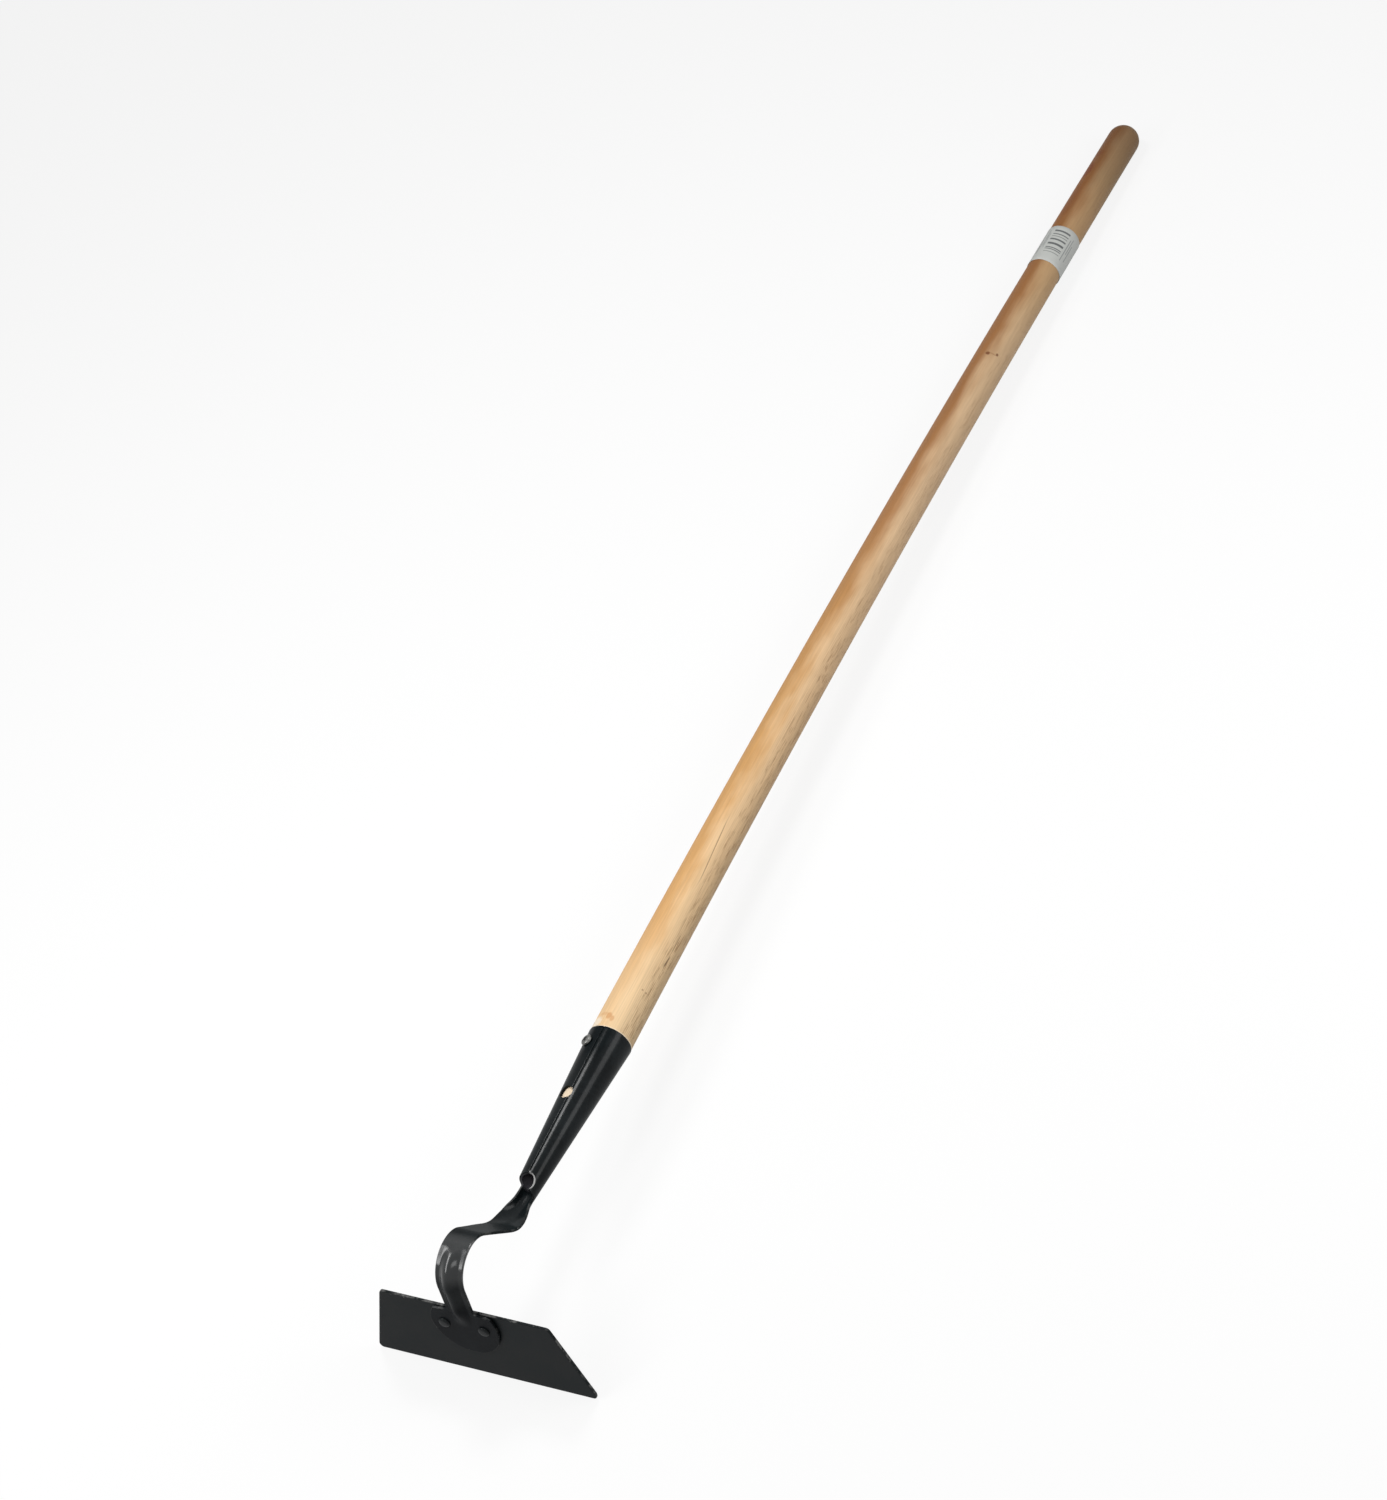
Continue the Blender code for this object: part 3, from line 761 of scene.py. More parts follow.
    def _cracks(self, tree: Tree, effects: SharedEffects, along: Socket, turn: Socket) -> Socket:
        """Draws the long thin cracks near the head.

        Args:
            tree: The material's tree.
            effects: The shared groups.
            along: The distance up the handle.
            turn: The angle round the axis.

        Returns:
            The cracks' mask.
        """
        masks = []
        for start, end, first, last, half in self.CRACKS:
            inputs = {"Value": along, "From Min": start, "From Max": end,
                      "To Min": math.radians(first), "To Max": math.radians(last)}
            middle = tree.add("ShaderNodeMapRange", inputs).outputs[0]
            line = effects.bar(tree, turn, middle, half, half * 0.9)
            masks.append(tree.times(line, effects.span(tree, along, start, end, (end - start) / 4)))
        return tree.times(reduce(tree.larger, masks), self.crack_share)

    def _marks(self, tree: Tree, colour: Socket, along: Socket, turn: Socket, place: Socket) -> Socket:
        """Draws the small knots and stains, and the pale rim at the mouth.

        Args:
            tree: The material's tree.
            colour: The wood's colour so far.
            along: The distance up the handle.
            turn: The angle round the axis.
            place: The point's place in the wood.

        Returns:
            The colour with the marks.
        """
        wobble = tree.times(tree.minus(tree.noise(place, 700.0), 0.5), 0.9)
        for distance, degrees, reach, turn_reach, strength, tint in self.MARKS:
            lengthwise = tree.over(tree.minus(along, distance), reach)
            crosswise = tree.over(tree.minus(turn, math.radians(degrees)), turn_reach)
            away = tree.plus(tree.math("POWER", lengthwise, 2.0), tree.math("POWER", crosswise, 2.0))
            shown = tree.step(tree.plus(away, wobble), 0.3, 1.5, strength, 0.0)
            colour = tree.blend(shown, colour, linear(*tint))
        return tree.blend(tree.step(along, 0.0006, 0.0016, 0.5, 0.0), colour, self.rim_tint)


@dataclass(frozen=True)
class PrintedPaper(Finish):
    """White label paper with plain printed bars, and no lettering.

    The print follows the label_place attribute: metres round the handle from the top, metres up
    from the label's lower edge.

    Attributes:
        height: The label's height.
        field: Middle and half width, in metres round the handle, of the field of bars.
        bar_share: How dark the bars are.
        rule_share: How dark the thin rules are.
        cloud_share: How strong the paper's clouds are.
        depth: Depth of its unevenness.
    """

    height: float = 0.047
    field: tuple[float, float] = (0.0052, 0.0072)
    bar_share: float = 0.85
    rule_share: float = 0.8
    cloud_scale: float = 160.0
    fine_share: float = 0.5
    cloud_share: float = 0.25
    depth: float = 0.00003
    # Greyed white: part of the grey is painted shade, for the weaker light near the grip.
    white: Colour = linear(206, 208, 204)
    shaded: Colour = linear(190, 193, 190)
    ink: Colour = linear(66, 70, 74)
    faint: Colour = linear(134, 138, 140)

    # Middle and half width of each bar, as shares of the label's height.
    BARS = ((0.86, 0.022), (0.765, 0.012), (0.70, 0.007), (0.615, 0.020), (0.49, 0.026), (0.375, 0.012),
            (0.33, 0.010), (0.255, 0.006))

    # Place of each rule round the handle, the shares of the height between which it runs, and half width.
    RULES = ((-0.0062, 0.42, 0.88, 0.00035), (-0.0047, 0.36, 0.80, 0.00028), (0.0150, 0.20, 0.78, 0.00040),
             (0.0172, 0.42, 0.84, 0.00030), (-0.0085, 0.20, 0.62, 0.00040), (-0.0102, 0.30, 0.90, 0.00035),
             (0.0192, 0.25, 0.70, 0.00035), (-0.0150, 0.04, 0.46, 0.00090))

    def build(self, effects: SharedEffects) -> bpy.types.Material:
        """Makes the paper.

        Args:
            effects: The shared groups.

        Returns:
            The material.
        """
        material, tree, shader = self.start()
        place = tree.attribute("label_place", "Vector")
        crosswise, level, _ = tree.add("ShaderNodeSeparateXYZ", {0: place}).outputs
        share = tree.over(level, self.height)
        clouds, height = effects.clouds(tree, tree.object_place(), self.cloud_scale, self.fine_share)
        colour = tree.blend(tree.times(clouds, self.cloud_share), self.white, self.shaded)
        field = effects.bar(tree, crosswise, *self.field, 0.0003)
        for middle, half in self.BARS:
            bar = effects.bar(tree, share, middle, half, 0.008)
            colour = tree.blend(tree.times(bar, field, self.bar_share), colour, self.ink)
        for middle, start, end, half in self.RULES:
            line = effects.bar(tree, crosswise, middle, half, 0.0002)
            length = effects.span(tree, share, start, end, 0.01)
            colour = tree.blend(tree.times(line, length, self.rule_share), colour, self.faint)
        tree.feed(shader.inputs["Base Color"], colour)
        self.bump(tree, shader, height, self.depth)
        return material


@dataclass(frozen=True)
class HeadFrame:
    """Where the head's own frame lies in the world.

    Attributes:
        mouth: The middle of the socket's mouth.
        tilt: Angle by which the handle runs down to the grip.
    """

    mouth: tuple[float, float, float] = (-0.416024, 0.0015, 0.050535)
    tilt: float = math.asin(0.033808)

    def matrix(self) -> Matrix:
        """Returns the head's frame as a matrix."""
        return Matrix.Translation(self.mouth) @ Matrix.Rotation(self.tilt, 4, "Y")


HEAD = HeadFrame()


def show(name: str, data: bpy.types.ID) -> bpy.types.Object:
    """Puts a new object into the scene.

    Args:
        name: Its name.
        data: The mesh, camera or lamp that it shows.

    Returns:
        The object.
    """
    shown = bpy.data.objects.new(name, data)
    bpy.context.scene.collection.objects.link(shown)
    return shown


def write_attribute(mesh: bpy.types.Mesh, name: str, values: np.ndarray) -> None:
    """Stores a number or a vector at each vertex of a mesh.

    Args:
        mesh: The mesh.
        name: The attribute's name.
        values: One number or one row of three for each vertex.
    """
    kind, field = ("FLOAT", "value") if values.ndim == 1 else ("FLOAT_VECTOR", "vector")
    attribute = mesh.attributes.get(name) or mesh.attributes.new(name, kind, "POINT")
    attribute.data.foreach_set(field, values.astype(np.float32).ravel())


def evaluated_mesh(source: bpy.types.Object) -> bpy.types.Mesh:
    """Takes an object's result out of the scene.

    Args:
        source: The object with its modifiers, which is removed.

    Returns:
        What the modifiers make, as a plain mesh.
    """
    graph = bpy.context.evaluated_depsgraph_get()
    mesh = bpy.data.meshes.new_from_object(source.evaluated_get(graph), depsgraph=graph)
    bpy.data.objects.remove(source)
    return mesh


def grown(mesh: bpy.types.Mesh, nodes: bpy.types.NodeTree, values: dict) -> bpy.types.Mesh:
    """Runs a geometry node tree on a mesh.

    Args:
        mesh: The mesh that it starts from.
        nodes: The tree.
        values: Its named inputs, which are set by their sockets' identifiers.

    Returns:
        What the tree makes, as a plain mesh.
    """
    source = show("source", mesh)
    modifier = source.modifiers.new("nodes", "NODES")
    modifier.node_group = nodes
    for item in nodes.interface.items_tree:
        if item.item_type == "SOCKET" and item.in_out == "INPUT" and item.name in values:
            modifier[item.identifier] = values[item.name]
    return evaluated_mesh(source)


def cut(mesh: bpy.types.Mesh, shapes: Sequence[bpy.types.Mesh]) -> bpy.types.Mesh:
    """Cuts shapes out of a mesh.

    Args:
        mesh: The closed mesh.
        shapes: The closed shapes, which are cut out in order.

    Returns:
        What is left, as a plain mesh.
    """
    source = show("source", mesh)
    cutters = [show("cutter", shape) for shape in shapes]
    for cutter in cutters:
        modifier = source.modifiers.new("cut", "BOOLEAN")
        modifier.operation = "DIFFERENCE"
        modifier.solver = "EXACT"
        modifier.object = cutter
    bpy.context.view_layer.update()
    left = evaluated_mesh(source)
    for cutter in cutters:
        bpy.data.objects.remove(cutter)
    return left


def point_outwards(mesh: bpy.types.Mesh) -> None:
    """Turns a closed mesh's faces outwards.

    Args:
        mesh: The mesh, which is changed.
    """
    shape = bmesh.new()
    shape.from_mesh(mesh)
    bmesh.ops.recalc_face_normals(shape, faces=shape.faces)
    shape.to_mesh(mesh)
    shape.free()


def lathe(profile: Rings, sides: int, placing: Matrix) -> bpy.types.Mesh:
    """Makes a closed solid of revolution.

    Args:
        profile: Radius and height of each ring, from the bottom up.
        sides: How many sides it has round its axis.
        placing: Where its local Z stands.

    Returns:
        The mesh.
    """
    turns = np.linspace(0, 2 * math.pi, sides, endpoint=False)
    points = [(radius * math.cos(turn), radius * math.sin(turn), height)
              for radius, height in profile for turn in turns]
    faces = [tuple(range(sides))[::-1]]
    for row in range(len(profile) - 1):
        for side in range(sides):
            after = (side + 1) % sides
            base = row * sides
            faces.append((base + side, base + after, base + sides + after, base + sides + side))
    faces.append(tuple((len(profile) - 1) * sides + side for side in range(sides)))
    mesh = bpy.data.meshes.new("lathe")
    mesh.from_pydata(points, [], faces)
    point_outwards(mesh)
    mesh.transform(placing)
    return mesh


def box_mesh(placing: Matrix) -> bpy.types.Mesh:
    """Makes a box.

    Args:
        placing: What places and sizes a cube of one metre.

    Returns:
        The mesh.
    """
    shape = bmesh.new()
    bmesh.ops.create_cube(shape, size=1.0)
    shape.transform(placing)
    mesh = bpy.data.meshes.new("box")
    shape.to_mesh(mesh)
    shape.free()
    return mesh


def placing_along(origin: Vector, direction: Vector, side: Vector) -> Matrix:
    """Makes a frame at a point.

    Args:
        origin: The point.
        direction: Where its Z points.
        side: A vector near its Y.

    Returns:
        The frame as a matrix.
    """
    axis = direction.normalized()
    first = side.cross(axis).normalized()
    turn = Matrix((first, axis.cross(first), axis)).transposed().to_4x4()
    return Matrix.Translation(origin) @ turn


class Workshop:
    """Turns shapes into pieces of the scene.

    Attributes:
        paint: The head's paint.
        blade_paint: The blade's, which is duller and more worn.
        rivet_paint: The rivets'.
        zinc: The screw's plating.
        wood: The handle's wood.
        paper: The label's paper.
    """

    def __init__(self) -> None:
        """Builds the finishes that the pieces take."""
        effects = SharedEffects()
        self.paint = PaintedSteel("black_paint", roughness=0.42, specular=0.02).build(effects)
        flat = PaintedSteel("blade_paint", roughness=0.44, specular=0.075, gloss=0.0, worn_share=0.6)
        self.blade_paint = flat.build(effects)
        domed = PaintedSteel("rivet_paint", roughness=0.44, specular=0.075, gloss=0.15)
        self.rivet_paint = domed.build(effects)
        self.zinc = ZincPlate("zinc_plated_steel", roughness=0.34, metallic=1.0).build(effects)
        self.wood = TurnedWood("turned_ash", roughness=0.52, specular=0.12).build(effects)
        self.paper = PrintedPaper("label_paper", roughness=0.62, specular=0.3).build(effects)

    def dress(self, name: str, mesh: bpy.types.Mesh, material: bpy.types.Material,
              nodes: Sequence[str], sharp: float = 38) -> bpy.types.Object:
        """Lays a mesh in the world, dresses it and puts it on its body in place of its solids.

        Args:
            name: The piece's name.
            mesh: Its mesh, in the head's frame.
            material: Its finish.
            nodes: The solids that it replaces.
            sharp: Edges that turn by more degrees than this stay sharp.

        Returns:
            The piece, at the origin and unturned.
        """
        mesh.name = name
        mesh.transform(HEAD.matrix())
        mesh.shade_smooth()
        mesh.set_sharp_from_angle(angle=math.radians(sharp))
        mesh.materials.clear()
        mesh.materials.append(material)
        piece = show(name, mesh)
        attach(piece, ROOT)
        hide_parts(*nodes)
        self.report(piece, nodes)
        return piece

    def report(self, piece: bpy.types.Object, nodes: Sequence[str]) -> None:
        """Logs a piece's triangles and how far its box lies off its solids' box.

        Args:
            piece: The piece.
            nodes: The solids that it replaces.
        """
        solids = [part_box(node) for node in nodes]
        points = np.array([corner[:] for corner in piece.bound_box])
        low = np.min([s[0][:] for s in solids], axis=0)
        high = np.max([s[1][:] for s in solids], axis=0)
        off = max(np.abs(points.min(0) - low).max(), np.abs(points.max(0) - high).max())
        triangles = sum(len(face.vertices) - 2 for face in piece.data.polygons)
        LOG.info("%s: %d triangles, %.2f mm off its solid's box", piece.name, triangles, off * 1000)
        if off > FIT_LIMIT:
            LOG.warning("%s doesn't fit %s", piece.name, nodes)


@dataclass
class SheetPiece:
    """A sheet with rounded edges, drawn as rows of loops across it.

    Attributes:
        name: The piece's name.
        thickness: The sheet's thickness.
        columns: Steps across each face of the sheet.
        edge_round: Radius of its rounded edges.
        edge_steps: Steps of each rounded edge.
        wear_reach: How far wear reaches in from an edge.
        ends: The first and the last row, known once the mesh is drawn.
    """

    name: str
    thickness: float = 0.002
    columns: int = 72
    edge_round: float = 0.00045
    edge_steps: int = 3
    wear_reach: float = 0.0030
    ends: tuple[float, float] = (0.0, 0.0)

    def stations(self) -> np.ndarray:
        """Returns the places of the rows."""
        raise NotImplementedError

    def reach(self, station: float, side: int) -> float:
        """Returns how far the sheet reaches from its middle line: side 1 left, -1 right."""
        raise NotImplementedError

    def place(self, station: float, along: np.ndarray, depth: np.ndarray) -> np.ndarray:
        """Returns points of the sheet from places across it and depths from its back face."""
        raise NotImplementedError

    def depth_at(self, station: float) -> float:
        """Returns the sheet's thickness at a row."""
        return self.thickness

    def wear(self, station: float, along: np.ndarray, depth: np.ndarray) -> tuple[np.ndarray, ...]:
        """Works out the wear of a row's points.

        Args:
            station: The row.
            along: The points' places across the sheet.
            depth: Their depths from its back face.

        Returns:
            One value for each point and each name in WEAR.
        """
        gap = np.minimum(along + self.reach(station, -1), self.reach(station, 1) - along)
        gap = np.minimum(gap, min(station - self.ends[0], self.ends[1] - station))
        return 1 - smooth_step(gap / self.wear_reach), *(0 * along for _ in WEAR[1:])

    def inset(self, station: float) -> float:
        """Works out the rounding of the sheet's two ends.

        Args:
            station: The row.

        Returns:
            How far the row is drawn in.
        """
        start, end = self.ends
        away = max(0.0, self.edge_round - min(station - start, end - station))
        return self.edge_round - math.sqrt(max(0.0, self.edge_round**2 - away**2))

    def loop(self, station: float) -> tuple[np.ndarray, np.ndarray]:
        """Draws one closed loop: back face, left edge, front face, right edge.

        Args:
            station: The row.

        Returns:
            The points' places across the sheet and their depths from its back face.
        """
        inset = min(self.inset(station), 0.9 * self.edge_round)
        low, high = inset, self.depth_at(station) - inset
        radius = min(self.edge_round - inset, 0.49 * (high - low))
        left = self.reach(station, 1) - inset - radius
        right = -self.reach(station, -1) + inset + radius
        across = np.linspace(right, left, self.columns + 1)
        turns = np.radians(np.linspace(0, 90, self.edge_steps + 1))[1:-1]
        out, up = radius * np.sin(turns), radius * (1 - np.cos(turns))
        along = [across, left + out, [left + radius] * 2, (left + out)[::-1], across[::-1], right - out,
                 [right - radius] * 2, (right - out)[::-1]]
        depth = [np.full(len(across), low), low + up, [low + radius, high - radius], (high - up)[::-1],
                 np.full(len(across), high), high - up, [high - radius, low + radius], (low + up)[::-1]]
        return np.concatenate(along), np.concatenate(depth)

    def faces(self, rows: int, size: int) -> list[list[int]]:
        """Joins the loops into a closed skin.

        Args:
            rows: How many loops there are.
            size: How many points each has.

        Returns:
            The corners of each face: those between the loops, then those that close both ends.
        """
        first = np.arange(size)
        after = np.roll(first, -1)
        faces = []
        for row in range(rows - 1):
            faces += (np.stack([first, after, after + size, first + size], 1) + row * size).tolist()
        wide, bend = self.columns + 1, self.edge_steps * 2
        for base, turn in ((0, -1), ((rows - 1) * size, 1)):
            back = [base + i for i in range(wide)]
            front = [base + wide + bend + i for i in range(wide)][::-1]
            for i in range(self.columns):
                faces.append([back[i], back[i + 1], front[i + 1], front[i]][::turn])
            faces.append([base + i for i in range(wide - 1, wide + bend + 1)][::turn])
            last = [base + i for i in range(2 * wide + bend - 1, size)] + [base]
            faces.append(last[::turn])
        return faces

    def mesh(self) -> bpy.types.Mesh:
        """Draws the sheet.

        Returns:
            The closed mesh, with its attributes of wear.
        """
        stations = self.stations().tolist()
        self.ends = (stations[0], stations[-1])
        rows, wear = [], []
        for station in stations:
            along, depth = self.loop(station)
            rows.append(self.place(station, along, depth))
            wear.append(self.wear(station, along, depth))
        mesh = bpy.data.meshes.new(self.name)
        mesh.from_pydata(np.concatenate(rows).tolist(), [], self.faces(len(rows), len(rows[0])))
        for name, values in zip(WEAR, zip(*wear)):
            write_attribute(mesh, name, np.concatenate(values))
        point_outwards(mesh)
        return mesh


@dataclass
class HeadPressing(SheetPiece):
    """The head's one sheet: rolled socket, curved neck with its pressed ridge, and round foot.

    Attributes:
        lean: Angle of the socket's axis to the handle's.
        relief_start: Station at which the round relief notch begins.
        left_flap_slope: Length over which the left flap draws in to the strip.
        right_flap_end: Station at which the right flap begins to do so.
        side_hole_turn: Angle of the side hole from the seam.
        pinch_width: The strip's width under the socket, neck_width at the lower bend and
            arch_width over the arch.
        pinch_end: Station from which the strip widens, up to full_width_start.
        uncurl_length: Length over which the socket's curl opens to the flat strip.
        slope: The strip's angle between the bends, slope_length long.
        side_shift: How far the neck lies to the side.
        ridge_full_turn: Turn past the arch's top at which the ridge has its full height.
        ridge_end_drop: How far below the blade's top the ridge ends, after ridge_fade.
        foot_drop: The foot's centre below the blade's top.
        foot_end_turn: Angle short of the foot's lowest point at which its last row lies.
    """

    name: str = "head_pressing"
    columns: int = 84
    socket_length: float = 0.143
    mouth_diameter: float = 0.0334
    end_diameter: float = 0.0162
    lean: float = math.radians(1.9)
    seam_gap: float = 0.0003
    relief_start: float = 0.128
    relief_radius: float = 0.007
    left_flap_slope: float = 0.004
    right_flap_end: float = 0.1395
    right_flap_slope: float = 0.003
    side_hole_diameter: float = 0.0106
    side_hole_station: float = 0.059
    side_hole_turn: float = math.radians(17)
    pinch_width: float = 0.0206
    neck_width: float = 0.0236
    arch_width: float = 0.0209
    pinch_end: float = 0.136
    full_width_start: float = 0.155
    uncurl_length: float = 0.032
    bend_radius: float = 0.0527
    slope: float = math.radians(50.2)
    slope_length: float = 0.0343
    arch_radius: float = 0.021
    blade_angle: float = math.radians(95)
    leg_length: float = 0.0231
    side_shift: float = -0.001
    ridge_height: float = 0.004
    ridge_width: float = 0.015
    ridge_full_turn: float = math.radians(60)
    ridge_end_drop: float = 0.0157
    ridge_fade: float = 0.020
    foot_diameter: float = 0.0524
    foot_drop: float = 0.015
    foot_fillet: float = 0.002
    foot_end_turn: float = math.radians(8)

    def __post_init__(self) -> None:
        """Works out the stations at which one stretch of the sheet ends and the next begins."""
        self.taper = (self.mouth_diameter - self.end_diameter) / 2 / self.socket_length
        self.rise = self.lean + math.atan(self.taper)
        self.bend_end = self.socket_length + self.bend_radius * (self.slope - self.rise)
        self.arch_start = self.bend_end + self.slope_length
        self.arch_top = self.arch_start + self.arch_radius * self.slope
        self.arch_end = self.arch_start + self.arch_radius * (self.slope + math.pi - self.blade_angle)
        self.blade_top = self.arch_end + self.leg_length
        self.foot_centre = self.blade_top + self.foot_drop
        self.foot_end = self.foot_centre + self.foot_diameter / 2 * math.cos(self.foot_end_turn)

    def socket_radius(self, station: float) -> float:
        """Returns the socket's outer radius."""
        return self.mouth_diameter / 2 - self.taper * station

    def socket_point(self, station: float, around: float, depth: float = 0.0) -> Vector:
        """Finds a point on the socket.

        Args:
            station: How far down the socket it lies.
            around: Its angle from the seam.
            depth: How far it lies below the outside.

        Returns:
            The point.
        """
        radius = self.socket_radius(station) - depth
        forward = Vector((math.sin(self.lean), 0, math.cos(self.lean)))
        down = Vector((-math.cos(self.lean), 0, math.sin(self.lean)))
        out = forward * radius * math.cos(around) + Vector((0, radius * math.sin(around), 0))
        return down * station + out

    def socket_placing(self, station: float, around: float) -> Matrix:
        """Makes a frame on the socket's outside.

        Args:
            station: How far down the socket it lies.
            around: Its angle from the seam.

        Returns:
            The frame, its Z square to the surface.
        """
        origin = self.socket_point(station, around)
        outward = origin - self.socket_point(station, around, self.socket_radius(station))
        along = self.socket_point(0.0, around) - origin
        return placing_along(origin, along.cross(outward).cross(along), along)

    def path(self, station: float) -> tuple[Vector, float]:
        """Follows the sheet's back face down its middle.

        Args:
            station: How far down it lies.

        Returns:
            The point there and the tilt of the section.
        """
        if station <= self.socket_length:
            return self.socket_point(station, math.pi), self.lean
        point = self.socket_point(self.socket_length, math.pi)
        angle = self.rise + (min(station, self.bend_end) - self.socket_length) / self.bend_radius
        turned = (math.sin(self.rise) - math.sin(angle), 0, math.cos(self.rise) - math.cos(angle))
        point += self.bend_radius * Vector(turned)
        if station <= self.bend_end:
            return point, mix(self.lean, self.slope, (angle - self.rise) / (self.slope - self.rise))
        reach = min(station, self.arch_start) - self.bend_end
        point += reach * Vector((-math.cos(self.slope), 0, math.sin(self.slope)))
        if station <= self.arch_start:
            return point, self.slope
        angle = self.slope - (min(station, self.arch_end) - self.arch_start) / self.arch_radius
        turned = (math.sin(angle) - math.sin(self.slope), 0, math.cos(angle) - math.cos(self.slope))
        point += self.arch_radius * Vector(turned)
        if station > self.arch_end:
            point += (station - self.arch_end) * Vector((-math.cos(angle), 0, math.sin(angle)))
        return point, angle

    def blade_matrix(self) -> Matrix:
        """Makes the frame of the blade's top edge.

        Returns:
            The frame: X down the blade, Y to the side, Z out of its front.
        """
        top, tilt = self.path(self.blade_top)
        down = Vector((-math.cos(tilt), 0, math.sin(tilt)))
        out = Vector((math.sin(tilt), 0, math.cos(tilt)))
        return Matrix.Translation(top) @ Matrix((down, (0, 1, 0), out)).transposed().to_4x4()

    def strip_reach(self, station: float) -> float:
        """Works out the neck's strip.

        Args:
            station: How far down it lies.

        Returns:
            Half its width.
        """
        widened = smooth_step((station - self.pinch_end) / (self.full_width_start - self.pinch_end))
        drawn_in = smooth_step((station - self.bend_end) / self.slope_length)
        return mix(mix(self.pinch_width, self.neck_width, widened), self.arch_width, drawn_in) / 2

    def reach(self, station: float, side: int) -> float:
        """Works out the sheet's outline.

        Args:
            station: How far down it lies.
            side: 1 for the left, -1 for the right.

        Returns:
            How far the sheet reaches from its middle line.
        """
        strip = self.strip_reach(station)
        if station >= self.blade_top:
            half = self.foot_diameter / 2
            away = min(abs(station - self.foot_centre), half)
            widened = smooth_step((station - self.blade_top) / self.foot_fillet)
            return mix(strip, math.sqrt(half**2 - away**2), widened)
        if station >= self.socket_length:
            return strip
        seam = math.pi * self.socket_radius(station) - self.seam_gap / 2
        if station <= self.relief_start:
            return seam
        if side > 0:
            return mix(seam, strip, smooth_step((station - self.relief_start) / self.left_flap_slope))
        above = self.relief_start + self.relief_radius - station
        relief = math.sqrt(max(0.0, self.relief_radius**2 - above**2))
        ended = smooth_step((station - self.right_flap_end) / self.right_flap_slope)
        return mix(seam - relief, strip, ended)

    def stations(self) -> np.ndarray:
        """Spaces the rows, which are close together where the sheet's outline turns.

        Returns:
            Their stations.
        """
        half = self.foot_diameter / 2
        fillet_end = self.blade_top + self.foot_fillet
        foot = self.foot_centre - half * np.cos(spread(0.0, math.pi - self.foot_end_turn, math.radians(3)))
        return thinned(np.concatenate([
            spread(0.0, self.edge_round, self.edge_round / 4),
            spread(self.edge_round, self.relief_start, 0.002),
            spread(self.relief_start, self.socket_length, 0.0003),
            spread(self.socket_length, self.arch_start, 0.0015),
            spread(self.arch_start, self.blade_top, 0.0010),
            spread(self.blade_top, fillet_end, 0.00025),
            foot[foot > fillet_end],
            spread(self.foot_end - self.edge_round, self.foot_end, self.edge_round / 4),
        ]))

    def place(self, station: float, along: np.ndarray, depth: np.ndarray) -> np.ndarray:
        """Bends a row's points to their places.

        Args:
            station: The row.
            along: Their places across the flat sheet.
            depth: Their depths from its back face.

        Returns:
            One point in each row.
        """
        base, tilt = self.path(station)
        if station <= self.socket_length:
            bend = 1 / self.socket_radius(station)
        else:
            faded = smooth_step((station - self.socket_length) / self.uncurl_length)
            bend = (1 - faded) / self.socket_radius(self.socket_length)
        angle = bend * along
        side = np.sin(angle) / bend if bend else along.copy()
        lift = (1 - np.cos(angle)) / bend if bend else np.zeros(len(along))
        steepness = np.sin(angle)
        rising = smooth_step((station - self.arch_top) / (self.arch_radius * self.ridge_full_turn))
        falling = smooth_step((self.blade_top + self.ridge_end_drop - station) / self.ridge_fade)
        ridge = self.ridge_height * rising * falling * (np.abs(along) < self.ridge_width / 2)
        phase = 2 * math.pi * along / self.ridge_width
        lift += ridge * (1 + np.cos(phase)) / 2
        steepness -= ridge * math.pi / self.ridge_width * np.sin(phase)
        length = np.hypot(np.cos(angle), steepness)
        side -= steepness / length * depth
        lift += np.cos(angle) / length * depth
        over_arch = smooth_step((station - self.bend_end) / (self.arch_top - self.bend_end))
        on_foot = smooth_step((station - self.blade_top) / self.foot_drop)
        side += self.side_shift * over_arch * (1 - on_foot)
        up = np.array((math.sin(tilt), 0, math.cos(tilt)))
        return np.array(base) + side[:, None] * (0, 1, 0) + lift[:, None] * up

    def wear(self, station: float, along: np.ndarray, depth: np.ndarray) -> tuple[np.ndarray, ...]:
        """Works out the wear of a row's points.

        The rolled seam is hardly worn; the relief's right edge is cut to uncoated steel, its bright colour
        partly a painted highlight; dust lies inside the relief and thinly on the foot, its pale colour partly
        a painted sheen; and the paint is dull along the seam at the mouth, between the bends and on the foot,
        and thick over the arch.

        Args:
            station: The row.
            along: The points' places across the sheet.
            depth: Their depths from its back face.

        Returns:
            One value for each point and each name in WEAR.
        """
        near = super().wear(station, along, depth)[0]
        if station < self.relief_start:
            near *= 0.6 * (1 - smooth_step((station - 0.002) / 0.004))
        on_relief = smooth_step((station - 0.126) / 0.002) * (station < self.right_flap_end)
        # The relief's right edge takes the uncoated steel colour, partly as a painted highlight of the light
        # that the cut edge catches.
        bare_and_highlight = 0.75 * on_relief * (along + self.reach(station, -1) < self.edge_round)
